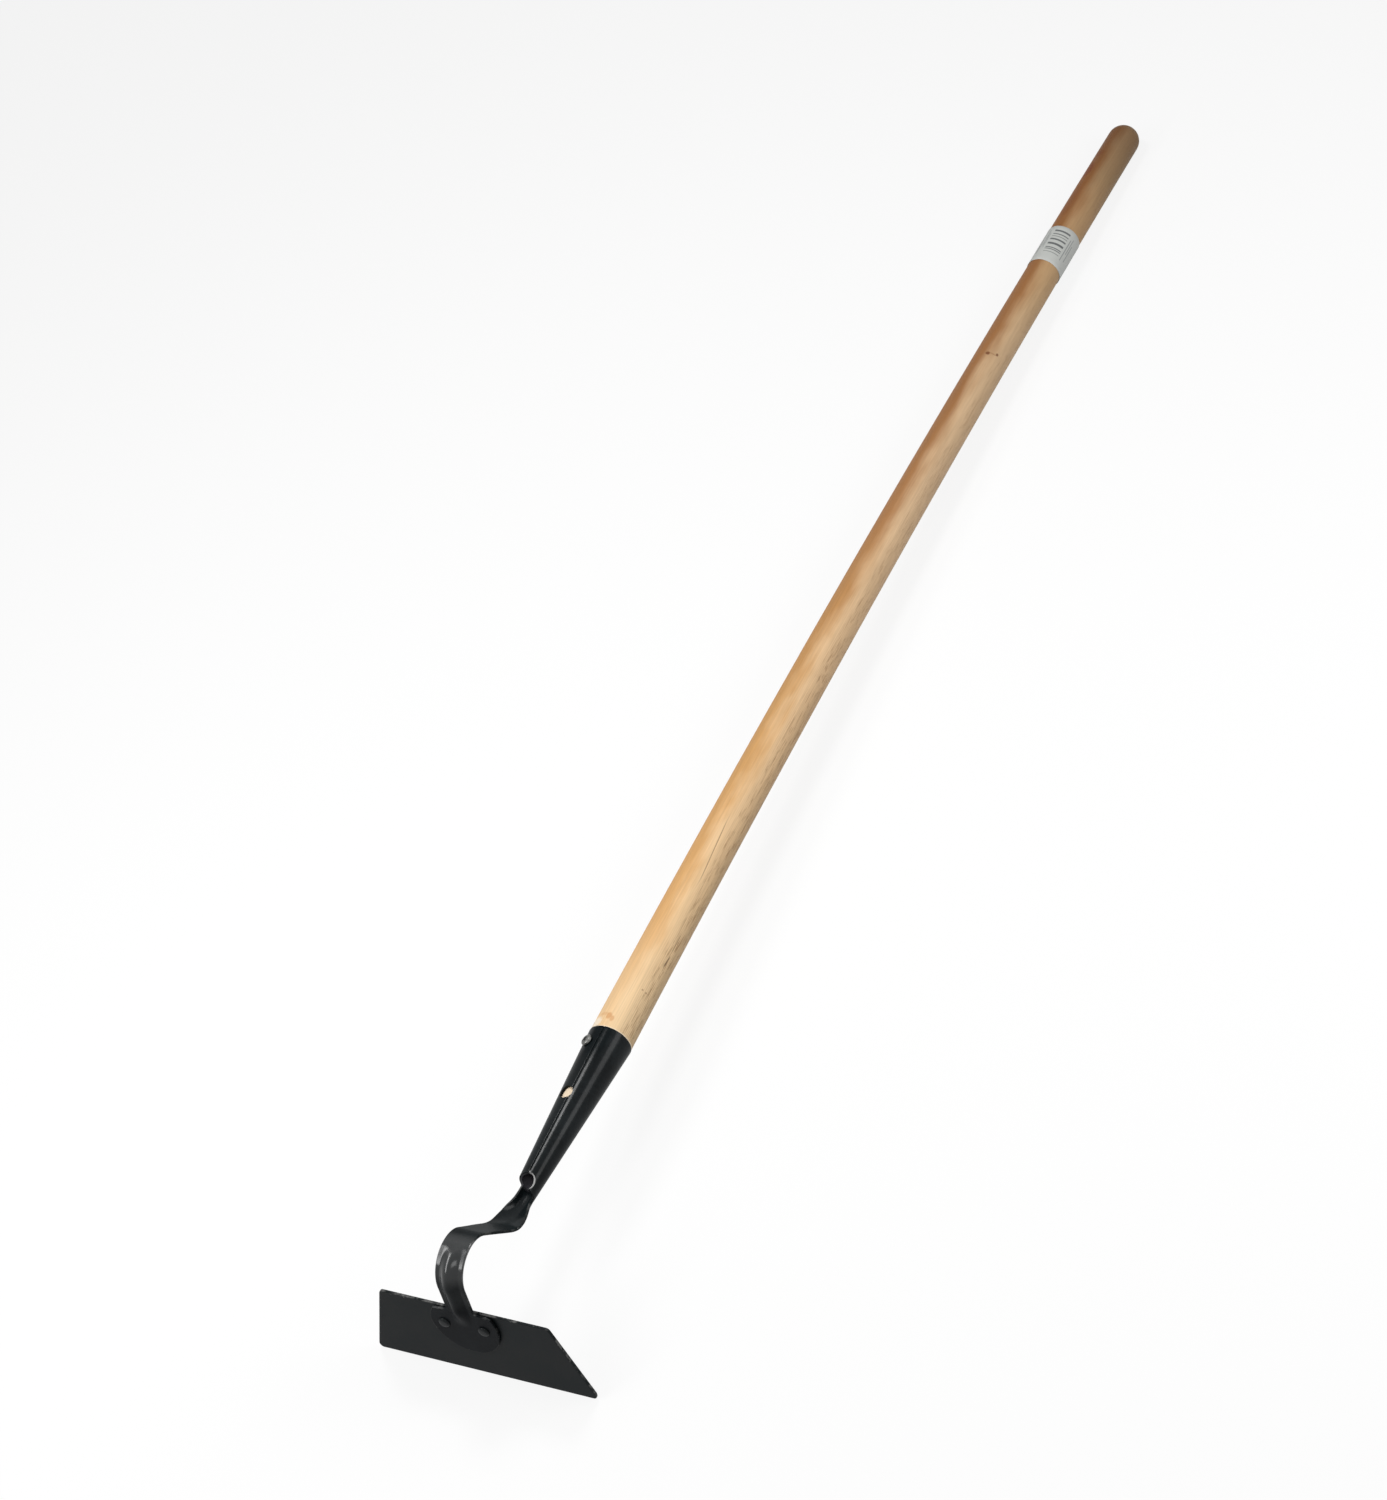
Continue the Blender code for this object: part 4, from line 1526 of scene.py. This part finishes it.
        # Dust inside the relief and a thin film of it on the foot; their pale colour is partly a painted
        # sheen.
        inside = smooth_step((station - 0.116) / 0.008) * (1 - smooth_step((station - 0.131) / 0.004))
        on_foot = smooth_step((station - self.arch_end - 0.012) / 0.012)
        dust_and_sheen = np.maximum(0.9 * inside * smooth_step(depth / self.thickness * 2 - 1), 0.055 * on_foot)
        between = smooth_step((station - self.bend_end + 0.016) / 0.010)
        between *= 1 - smooth_step((station - self.arch_start - 0.004) / 0.010)
        below = smooth_step((station - self.arch_end - 0.006) / 0.016)
        over = smooth_step((station - self.arch_start - 0.008) / 0.008)
        over *= 1 - smooth_step((station - self.arch_end + 0.012) / 0.010)
        seam = smooth_step((np.abs(along) - self.reach(station, 1) + 0.009) / 0.004)
        seam *= 1 - smooth_step((station - 0.010) / 0.036)
        dull = np.maximum(max(between, 0.75 * below), seam)
        return near, bare_and_highlight, dust_and_sheen, dull, np.full(len(along), over)

    def build(self, shop: Workshop) -> bpy.types.Object:
        """Builds the pressing, with its side hole cut through.

        Args:
            shop: The workshop that dresses it.

        Returns:
            The piece.
        """
        radius = self.side_hole_diameter / 2
        wall = self.thickness * 2
        placing = self.socket_placing(self.side_hole_station, self.side_hole_turn)
        mesh = cut(self.mesh(), [lathe([(radius, -wall), (radius, wall)], 64, placing)])
        return shop.dress(self.name, mesh, shop.paint, ["socket_and_neck"])


@dataclass
class Blade(SheetPiece):
    """The trapezoid blade, ground thin along its cutting edge on the user's side.

    Attributes:
        side_shift: How far it lies to the side.
        gap: How far its front lies behind the foot's back.
    """

    name: str = "blade_plate"
    columns: int = 96
    edge_round: float = 0.00035
    height: float = 0.0661
    top_width: float = 0.1318
    edge_width: float = 0.1751
    corner_radius: float = 0.0035
    side_shift: float = -0.0015
    grind_height: float = 0.005
    edge_thickness: float = 0.0008
    gap: float = 0.0003
    wear_reach: float = 0.0040

    def __post_init__(self) -> None:
        """Works out the slant of the sides."""
        self.slant = math.atan((self.edge_width - self.top_width) / 2 / self.height)
        self.corner_side = self.top_width / 2 - self.corner_radius / math.cos(self.slant)

    def reach(self, station: float, side: int) -> float:
        """Works out the blade's outline, which is the same on both sides.

        Args:
            station: The drop below its top edge.
            side: 1 for the left, -1 for the right.

        Returns:
            Half its width there.
        """
        radius, lean = self.corner_radius, math.sin(self.slant)
        for centre in (radius, self.height - radius):
            tangent = centre - radius * lean
            in_corner = station < tangent if centre == radius else station > tangent
            if in_corner:
                middle = self.corner_side + centre * math.tan(self.slant)
                return middle + math.sqrt(max(0.0, radius**2 - (station - centre) ** 2))
        return self.top_width / 2 + station * math.tan(self.slant)

    def depth_at(self, station: float) -> float:
        """Returns the plate's thickness, which the grind takes down to the edge."""
        into = (station - self.height + self.grind_height) / self.grind_height
        return mix(self.thickness, self.edge_thickness, min(1.0, max(0.0, into)))

    def stations(self) -> np.ndarray:
        """Spaces the rows, which are close together at the corners and the grind.

        Returns:
            Their drops below the top edge.
        """
        radius = self.corner_radius
        turns = radius * (1 - np.cos(spread(0, math.pi / 2, math.radians(7))))
        ground = self.height - self.grind_height
        return thinned(np.concatenate([
            turns, spread(radius, ground, 0.003), [ground + 0.0001], self.height - turns,
            spread(0, self.edge_round, self.edge_round / 3),
            self.height - spread(0, self.edge_round, self.edge_round / 3),
        ]))

    def place(self, station: float, along: np.ndarray, depth: np.ndarray) -> np.ndarray:
        """Returns points of the blade, whose front stays flat where the back is ground."""
        height = -self.gap - self.depth_at(station) + depth
        return np.stack([np.full(len(along), station), along + self.side_shift, height], 1)

    def build(self, shop: Workshop, placing: Matrix) -> bpy.types.Object:
        """Builds the blade.

        Args:
            shop: The workshop that dresses it.
            placing: The frame of its top edge.

        Returns:
            The piece.
        """
        mesh = self.mesh()
        mesh.transform(placing)
        return shop.dress(self.name, mesh, shop.blade_paint, ["blade"], 30)


@dataclass
class Rivets:
    """The foot's two rivets, set along a line by a node tree.

    Attributes:
        drop: How far below the blade's top they sit.
        sheet: The thickness of the foot's sheet and of the blade.
        gap: Clearance under the heads and between the sheets.
        roundness: How full the domes are, where 1 is half an ellipse and less is flatter.
        seed: Seed of their turns.
    """

    spacing: float = 0.031
    count: int = 2
    drop: float = 0.015
    shank: float = 0.005
    head: float = 0.0085
    head_rise: float = 0.0015
    tail: float = 0.0075
    tail_rise: float = 0.0014
    sheet: float = 0.002
    gap: float = 0.0003
    roundness: float = 0.45
    dome_steps: int = 9
    sides: int = 48
    seed: int = 7

    def dome(self, width: float, rise: float) -> Rings:
        """Returns radius and rise of a low dome's rings, from its rim up."""
        turns = np.radians(np.linspace(0, 88, self.dome_steps + 1))
        return [(width / 2 * math.cos(turn) ** self.roundness, rise * math.sin(turn)) for turn in turns]

    def profile(self) -> Rings:
        """Draws one rivet, from the foot's back face.

        Returns:
            Its rings, tail first.
        """
        tail = -2 * self.gap - self.sheet
        head = self.sheet + self.gap
        rings = [(radius, tail - rise) for radius, rise in reversed(self.dome(self.tail, self.tail_rise))]
        rings += [(self.shank / 2, tail), (self.shank / 2, head)]
        return rings + [(radius, head + rise) for radius, rise in self.dome(self.head, self.head_rise)]

    def sizes(self) -> dict[str, Any]:
        """Returns the node tree's numbers by name."""
        return {"Count": self.count, "Spacing": self.spacing, "Seed": self.seed}

    def tree(self) -> bpy.types.NodeTree:
        """Builds the node tree that sets the rivets along a line, each turned its own way.

        Returns:
            The tree.
        """
        group = Group(
            "rivets_along_a_line", TreeKind.GEOMETRY,
            {"Rivet": SocketKind.GEOMETRY, **self.sizes(), "Finish": SocketKind.MATERIAL},
            {"Geometry": SocketKind.GEOMETRY},
        )
        tree, given = group.tree, group.given
        start = tree.times(tree.minus(given["Count"], 1.0), given["Spacing"], -0.5)
        line = tree.add("GeometryNodeMeshLine", {
            "Count": given["Count"], "Start Location": tree.combine(0.0, start),
            "Offset": tree.combine(0.0, given["Spacing"]),
        })
        turn = tree.add("FunctionNodeRandomValue", {3: math.tau, "Seed": given["Seed"]}, data_type="FLOAT")
        placed = tree.add("GeometryNodeInstanceOnPoints", {
            "Points": line.outputs[0], "Instance": given["Rivet"],
            "Rotation": tree.combine(0.0, 0.0, turn.outputs[1]),
        })
        real = tree.add("GeometryNodeRealizeInstances", {"Geometry": placed.outputs[0]})
        done = tree.add("GeometryNodeSetMaterial", {"Geometry": real.outputs[0], "Material": given["Finish"]})
        return group.give(Geometry=done.outputs[0])

    def build(self, shop: Workshop, placing: Matrix) -> bpy.types.Object:
        """Builds both rivets as one piece.

        Args:
            shop: The workshop that dresses it.
            placing: The frame of the blade's top edge.

        Returns:
            The piece.
        """
        rivet = lathe(self.profile(), self.sides, Matrix.Identity(4))
        mesh = grown(rivet, self.tree(), {**self.sizes(), "Finish": shop.rivet_paint})
        mesh.transform(placing @ Matrix.Translation((self.drop, 0, 0)))
        return shop.dress("rivets", mesh, shop.rivet_paint, ["rivet_left", "rivet_right"])


@dataclass
class SocketScrew:
    """The pan head screw through the socket, with a cross recess.

    Attributes:
        station: How far down the socket it sits, at the angle turn from the seam.
        length: Its shank's length under the head, before the point.
        rim: Height of the head's upright rim.
        rim_break: Size of the small slope under the rim.
        gap: Clearance under the head.
        roundness: How full the head's dome is.
        recess_turn: How far the cross is turned about the screw's axis.
    """

    station: float = 0.0135
    turn: float = math.radians(30)
    shank: float = 0.004
    length: float = 0.016
    point: float = 0.004
    point_width: float = 0.0006
    head: float = 0.009
    head_height: float = 0.0026
    rim: float = 0.0009
    rim_break: float = 0.0002
    gap: float = 0.0003
    roundness: float = 0.7
    recess_length: float = 0.0046
    recess_width: float = 0.0010
    recess_depth: float = 0.0015
    recess_turn: float = 0.6
    sides: int = 64

    def profile(self) -> Rings:
        """Draws the screw.

        Returns:
            Its rings, point first.
        """
        rings = [(self.point_width / 2, -self.length - self.point), (self.shank / 2, -self.length),
                 (self.shank / 2, self.gap), (self.head / 2 - self.rim_break, self.gap),
                 (self.head / 2, self.gap + self.rim_break)]
        for turn in np.radians(np.linspace(0, 88, 10)):
            rings.append((self.head / 2 * math.cos(turn) ** self.roundness,
                          self.gap + self.rim + (self.head_height - self.rim) * math.sin(turn)))
        return rings

    def build(self, shop: Workshop, head: HeadPressing) -> bpy.types.Object:
        """Builds the screw.

        Args:
            shop: The workshop that dresses it.
            head: The pressing that it goes through.

        Returns:
            The piece.
        """
        size = Matrix.Diagonal((self.recess_length, self.recess_width, 2 * self.recess_depth, 1))
        top = Matrix.Translation((0, 0, self.gap + self.head_height))
        slots = [box_mesh(top @ Matrix.Rotation(turn, 4, "Z") @ size)
                 for turn in (self.recess_turn, self.recess_turn + math.pi / 2)]
        mesh = cut(lathe(self.profile(), self.sides, Matrix.Identity(4)), slots)
        mesh.transform(head.socket_placing(self.station, self.turn))
        return shop.dress("head_screw", mesh, shop.zinc, ["socket_screw"])


@dataclass
class Handle:
    """The turned wooden handle: a slightly bowed shaft from a node tree, and its cone in the socket.

    Attributes:
        bow: Height of its bow over the free length.
        tip_flat: Width of the flat on its grip end.
        gap: Clearance of the cone in the socket.
        tip_share: Share of the rows that the rounded tip takes.
        waviness: How uneven the turned surface is.
        wave_scale: Noise scale of that.
    """

    free_length: float = 1.08
    mouth_diameter: float = 0.0326
    grip_diameter: float = 0.0288
    bow: float = 0.0075
    tip_flat: float = 0.010
    in_socket: float = 0.120
    gap: float = 0.0003
    sides: int = 80
    rows: int = 300
    tip_share: float = 0.06
    waviness: float = 0.00012
    wave_scale: float = 14.0

    def __post_init__(self) -> None:
        """Works out the bow's radius and where the rounded tip begins."""
        self.bow_radius = self.free_length**2 / (8 * self.bow)
        self.tip_radius = self.grip_diameter / 2
        self.tip_turn = math.acos(self.tip_flat / self.grip_diameter)
        self.tip_start = self.free_length - self.tip_radius * math.sin(self.tip_turn)

    def axis(self, distance: np.ndarray) -> np.ndarray:
        """Returns points of the bowed centre line."""
        turn = np.asarray(distance) / self.bow_radius
        return np.stack([self.bow_radius * np.sin(turn), self.bow_radius * (np.cos(turn) - 1), 0 * turn], -1)

    def sizes(self) -> dict[str, Any]:
        """Returns the node tree's numbers by name."""
        return {
            "Tip start": self.tip_start, "Free length": self.free_length,
            "Mouth radius": self.mouth_diameter / 2, "Grip radius": self.tip_radius,
            "Tip turn": self.tip_turn, "Bow radius": self.bow_radius, "Waviness": self.waviness,
            "Tip share": self.tip_share, "Rows": self.rows, "Sides": self.sides,
        }

    def tree(self) -> bpy.types.NodeTree:
        """Builds the node tree of the shaft: a bowed line with a radius at each point, made a tube.

        Returns:
            The tree.
        """
        group = Group(
            "turned_shaft", TreeKind.GEOMETRY,
            {"Geometry": SocketKind.GEOMETRY, **self.sizes(), "Finish": SocketKind.MATERIAL},
            {"Geometry": SocketKind.GEOMETRY},
        )
        tree, given = group.tree, group.given
        line = tree.add("GeometryNodeCurvePrimitiveLine", {"End": (1.0, 0.0, 0.0)})
        rows = tree.add("GeometryNodeResampleCurve", {"Curve": line.outputs[0], "Count": given["Rows"]})
        factor = tree.add("GeometryNodeSplineParameter").outputs["Factor"]

        shaft_share = tree.minus(1.0, given["Tip share"])
        past = tree.minus(factor, shaft_share)
        shaft = tree.math("DIVIDE", factor, shaft_share, clamp=True)
        tip = tree.times(tree.math("DIVIDE", past, given["Tip share"], clamp=True), given["Tip turn"])
        rise = tree.times(tree.math("SINE", tip), given["Grip radius"])
        distance = tree.plus(tree.times(shaft, given["Tip start"]), rise)

        share = tree.over(distance, given["Free length"])
        straight = tree.between(share, given["Mouth radius"], given["Grip radius"])
        wave = tree.times(tree.noise(tree.combine(distance), self.wave_scale), given["Waviness"])
        uneven = tree.plus(straight, tree.minus(wave, tree.times(given["Waviness"], 0.5)))
        round_tip = tree.times(tree.math("COSINE", tip), given["Grip radius"])
        radius = tree.between(tree.math("GREATER_THAN", past, 0.0), uneven, round_tip)

        turn = tree.over(distance, given["Bow radius"])
        ahead = tree.times(tree.math("SINE", turn), given["Bow radius"])
        aside = tree.times(tree.minus(tree.math("COSINE", turn), 1.0), given["Bow radius"])
        kept = tree.add("GeometryNodeStoreNamedAttribute", {
            "Geometry": rows.outputs[0], "Name": "distance", "Value": distance,
        }, data_type="FLOAT", domain="POINT")
        sized = tree.add("GeometryNodeSetCurveRadius", {"Curve": kept.outputs[0], "Radius": radius})
        bowed = tree.add("GeometryNodeSetPosition", {
            "Geometry": sized.outputs[0], "Position": tree.combine(ahead, aside),
        })
        circle = tree.add("GeometryNodeCurvePrimitiveCircle", {"Resolution": given["Sides"], "Radius": 1.0})
        tube = tree.add("GeometryNodeCurveToMesh", {
            "Curve": bowed.outputs[0], "Profile Curve": circle.outputs[0],
            "Scale": tree.add("GeometryNodeInputRadius").outputs[0],
        })
        real = tree.add("GeometryNodeRealizeInstances", {"Geometry": tube.outputs[0]})
        done = tree.add("GeometryNodeSetMaterial", {"Geometry": real.outputs[0], "Material": given["Finish"]})
        return group.give(Geometry=done.outputs[0])

    def close(self, mesh: bpy.types.Mesh, head: HeadPressing) -> None:
        """Closes the tip, and goes on from the mouth as the shoulder and the cone in the socket.

        Args:
            mesh: The open tube, which is changed.
            head: The pressing, whose socket the cone fits.
        """
        shape = bmesh.new()
        shape.from_mesh(mesh)
        open_edges = [edge for edge in shape.edges if edge.is_boundary]
        tip = [edge for edge in open_edges if edge.verts[0].co.x > self.free_length / 2]
        mouth = [edge for edge in open_edges if edge.verts[0].co.x < self.free_length / 2]
        bmesh.ops.contextual_create(shape, geom=tip)
        wall = head.thickness + self.gap
        down = Vector((-math.cos(head.lean), 0, math.sin(head.lean)))
        tilt = Matrix.Rotation(head.lean, 3, "Y")
        old_radius = self.mouth_diameter / 2
        old_centre = Vector((0, 0, 0))
        for station, turn in ((-self.gap, tilt), (self.in_socket, Matrix.Identity(3))):
            radius = head.socket_radius(max(0.0, station)) - wall
            centre = down * station
            made = bmesh.ops.extrude_edge_only(shape, edges=mouth)["geom"]
            for vertex in (item for item in made if isinstance(item, bmesh.types.BMVert)):
                vertex.co = centre + turn @ (vertex.co - old_centre) * (radius / old_radius)
            mouth = [item for item in made if isinstance(item, bmesh.types.BMEdge) and item.is_boundary]
            old_radius, old_centre = radius, centre
        bmesh.ops.contextual_create(shape, geom=mouth)
        bmesh.ops.recalc_face_normals(shape, faces=shape.faces)
        shape.to_mesh(mesh)
        shape.free()

    def write_place(self, mesh: bpy.types.Mesh) -> None:
        """Stores each point's place in the straightened wood: distance, up and to the front.

        Args:
            mesh: The closed handle, with the distance of each point of its shaft.
        """
        count = len(mesh.vertices)
        points = np.zeros(count * 3, np.float32)
        mesh.vertices.foreach_get("co", points)
        points = points.reshape(-1, 3).astype(float)
        distance = np.zeros(count, np.float32)
        mesh.attributes["distance"].data.foreach_get("value", distance)
        inside = points[:, 0] < -1e-4
        away = points - self.axis(distance)
        away[inside] = points[inside]
        along = np.where(inside, points[:, 0], distance)
        write_attribute(mesh, "wood_place", np.stack([along, away[:, 2], -away[:, 1]], 1))

    def build(self, shop: Workshop, head: HeadPressing) -> bpy.types.Object:
        """Builds the handle.

        Args:
            shop: The workshop that dresses it.
            head: The pressing that it sits in.

        Returns:
            The piece.
        """
        start = bpy.data.meshes.new("shaft")
        mesh = grown(start, self.tree(), {**self.sizes(), "Finish": shop.wood})
        self.close(mesh, head)
        self.write_place(mesh)
        return shop.dress("wooden_handle", mesh, shop.wood, ["handle"], 50)


@dataclass
class Label(SheetPiece):
    """The paper band glued round the handle, its end lapped over its start.

    Attributes:
        start: Distance of its lower edge up the handle.
        gap: How far its back stands off the wood.
        lap: How far its end overlaps its start, lap_rise higher.
        seam_turn: Angle of the overlap round the handle.
        wood: The handle that it is glued to.
    """

    name: str = "paper_label"
    thickness: float = 0.00022
    columns: int = 160
    edge_round: float = 0.00005
    edge_steps: int = 2
    start: float = 0.8755
    width: float = 0.047
    gap: float = 0.00025
    lap: float = 0.009
    lap_rise: float = 0.00028
    seam_turn: float = math.radians(-150)
    wood: Handle | None = None

    def stations(self) -> np.ndarray:
        """Returns rows from the lower edge to the upper."""
        rows = spread(0.0, self.width, 0.004)[1:-1]
        return np.concatenate([[0.0, self.edge_round], rows, [self.width - self.edge_round, self.width]])

    def around(self) -> float:
        """Returns the length round the handle at the band's middle."""
        share = (self.start + self.width / 2) / self.wood.free_length
        return math.pi * mix(self.wood.mouth_diameter, self.wood.grip_diameter, share)

    def reach(self, station: float, side: int) -> float:
        """Returns half the band's length round the handle, its lap included."""
        return (self.around() + self.lap) / 2

    def place(self, station: float, along: np.ndarray, depth: np.ndarray) -> np.ndarray:
        """Wraps a row's points round the handle.

        Args:
            station: The row.
            along: Their places along the band.
            depth: Their depths from its back.

        Returns:
            One point in each row.
        """
        distance = self.start + station
        share = distance / self.wood.free_length
        radius = mix(self.wood.mouth_diameter, self.wood.grip_diameter, share) / 2
        turn = self.seam_turn + math.pi + along / self.around() * 2 * math.pi
        lapped = smooth_step((along - self.around() / 2 + self.lap) / self.lap * 2)
        out = radius + self.gap + depth + self.lap_rise * lapped
        centre = self.wood.axis(distance)
        tangent = self.wood.axis(distance + 0.001) - centre
        tangent /= np.linalg.norm(tangent)
        front = np.cross(tangent, (0, 0, 1))
        return centre + (out * np.cos(turn))[:, None] * (0, 0, 1) + (out * np.sin(turn))[:, None] * front

    def build(self, shop: Workshop) -> bpy.types.Object:
        """Builds the label, with each point's place on the paper.

        Args:
            shop: The workshop that dresses it.

        Returns:
            The piece.
        """
        mesh = self.mesh()
        values = []
        for station in self.stations().tolist():
            along, _ = self.loop(station)
            turned = along + (self.seam_turn + math.pi) / (2 * math.pi) * self.around()
            values.append(np.stack([turned, np.full(len(along), station), 0 * along], 1))
        write_attribute(mesh, "label_place", np.concatenate(values))
        return shop.dress(self.name, mesh, shop.paper, ["label_band"], 60)


@dataclass(frozen=True)
class SoftLamp:
    """A square or oblong soft lamp that faces a point.

    Attributes:
        name: The lamp's name.
        place: Where it hangs.
        target: The point that it faces.
        size: Its two sides.
        glow: Its brightness, where 1 is a white surface in full light.
        turn: How far it is turned about its own beam, in degrees.
    """

    name: str
    place: tuple[float, float, float]
    target: tuple[float, float, float]
    size: tuple[float, float]
    glow: float
    turn: float = 0.0

    def build(self) -> bpy.types.Object:
        """Hangs the lamp.

        Returns:
            The lamp.
        """
        data = bpy.data.lights.new(self.name, "AREA")
        data.shape = "RECTANGLE"
        data.size, data.size_y = self.size
        data.energy = self.glow * math.pi * self.size[0] * self.size[1]
        lamp = show(self.name, data)
        aim = (Vector(self.target) - Vector(self.place)).to_track_quat("-Z", "Y").to_matrix().to_4x4()
        turn = Matrix.Rotation(math.radians(self.turn), 4, "Z")
        lamp.matrix_world = Matrix.Translation(self.place) @ aim @ turn
        return lamp


@dataclass
class Studio:
    """A white studio: soft lamps, a pale floor that keeps a soft shadow, and the camera.

    Attributes:
        ambient: The world's light on the object.
        backdrop: The world's brightness where it is seen, directly or in gloss.
        floor_grey: The floor's colour as it lights the object.
        floor_glow: How bright the seen floor is by itself.
        shadow_share: Its colour, which the lamps light and the object's shadow darkens.
        focal_pixels: The camera's focal length in pixels of the photograph.
        image_height: The photograph's longer side in pixels.
    """

    ambient: float = 0.15
    backdrop: float = 0.97
    floor_size: float = 60.0
    floor_grey: float = 0.45
    floor_glow: float = 0.86
    shadow_share: float = 0.13
    focal_pixels: float = 3178.34
    image_height: float = 1500.0
    sensor: float = 36.0
    camera_place: tuple[float, float, float] = (-1.49919, -1.04603, 1.75117)
    right: tuple[float, float, float] = (0.38606, -0.88396, -0.26377)
    down: tuple[float, float, float] = (-0.73580, -0.12262, -0.66601)
    forward: tuple[float, float, float] = (0.55638, 0.45120, -0.69775)

    LAMPS = (
        SoftLamp("overhead_strip", (0.154, 0.322, 1.264), (-0.49, 0.0, 0.06), (0.36, 0.28), 26.0),
        SoftLamp("side_softbox", (-0.874, 0.629, 0.908), (-0.60, 0.0, 0.08), (1.10, 0.22), 8.6, -23),
        SoftLamp("front_panel", (0.100, -1.080, 0.760), (-0.30, 0.0, 0.05), (0.90, 0.55), 4.7),
        SoftLamp("head_panel", (-0.950, -0.550, 1.300), (-0.45, 0.0, 0.05), (0.50, 0.50), 3.0),
    )

    def camera(self) -> bpy.types.Object:
        """Sets up the camera at the photograph's viewing angle.

        Returns:
            The camera.
        """
        data = bpy.data.cameras.new("camera")
        data.sensor_fit = "AUTO"
        data.sensor_width = self.sensor
        data.lens = self.focal_pixels / self.image_height * self.sensor
        data.dof.use_dof = False
        camera = show("camera", data)
        axes = Matrix((self.right, [-v for v in self.down], [-v for v in self.forward])).transposed().to_4x4()
        camera.matrix_world = Matrix.Translation(self.camera_place) @ axes
        bpy.context.scene.camera = camera
        return camera

    def seen_rays(self, tree: Tree) -> Socket:
        """Tells the rays that show the surroundings: from the camera, in gloss or through glass.

        Args:
            tree: The tree that asks.

        Returns:
            1 for such a ray, else 0.
        """
        path = tree.add("ShaderNodeLightPath").outputs
        indirect = tree.larger(path["Is Glossy Ray"], path["Is Transmission Ray"])
        return tree.larger(path["Is Camera Ray"], indirect)

    def world(self) -> None:
        """Lights the scene with plain ambient light behind a white backdrop."""
        world = bpy.data.worlds.new("studio")
        world.use_nodes = True
        tree = Tree(world.node_tree)
        light = world.node_tree.nodes["Background"]
        light.inputs["Color"].default_value = WHITE
        light.inputs["Strength"].default_value = self.ambient
        white = tree.add("ShaderNodeBackground", {"Color": WHITE, "Strength": self.backdrop})
        both = tree.add("ShaderNodeMixShader", {
            0: self.seen_rays(tree), 1: light.outputs[0], 2: white.outputs[0],
        })
        tree.feed(world.node_tree.nodes["World Output"].inputs["Surface"], both.outputs[0])
        bpy.context.scene.world = world

    def floor(self) -> bpy.types.Object:
        """Lays the pale floor, which shows white but for a soft shadow.

        Returns:
            The floor.
        """
        half = self.floor_size / 2
        mesh = bpy.data.meshes.new("floor")
        corners = [(-half, -half, 0), (half, -half, 0), (half, half, 0), (-half, half, 0)]
        mesh.from_pydata(corners, [], [(0, 1, 2, 3)])
        floor = show("floor", mesh)
        material = bpy.data.materials.new("floor")
        material.use_nodes = True
        nodes = material.node_tree.nodes
        nodes.remove(nodes["Principled BSDF"])
        tree = Tree(material.node_tree)
        plain = tree.add("ShaderNodeBsdfDiffuse", {"Color": (self.floor_grey,) * 3 + (1,)})
        pale = tree.add("ShaderNodeBsdfDiffuse", {"Color": (self.shadow_share,) * 3 + (1,)})
        glow = tree.add("ShaderNodeEmission", {"Color": WHITE, "Strength": self.floor_glow})
        shown = tree.add("ShaderNodeAddShader", {0: pale.outputs[0], 1: glow.outputs[0]})
        both = tree.add("ShaderNodeMixShader", {
            0: self.seen_rays(tree), 1: plain.outputs[0], 2: shown.outputs[0],
        })
        tree.feed(nodes["Material Output"].inputs["Surface"], both.outputs[0])
        mesh.materials.append(material)
        return floor

    def build(self) -> None:
        """Sets up the whole studio."""
        self.camera()
        self.world()
        self.floor()
        for lamp in self.LAMPS:
            lamp.build()
        bpy.context.scene.view_settings.view_transform = "Standard"


def main() -> None:
    """Builds the hoe's pieces in order, then the studio round them."""
    logging.basicConfig(level=logging.INFO, format="%(name)s %(message)s")
    shop = Workshop()
    head = HeadPressing()
    handle = Handle()
    head.build(shop)
    Blade().build(shop, head.blade_matrix())
    Rivets().build(shop, head.blade_matrix())
    SocketScrew().build(shop, head)
    handle.build(shop, head)
    Label(wood=handle).build(shop)
    Studio().build()


if __name__ == "__main__":
    main()
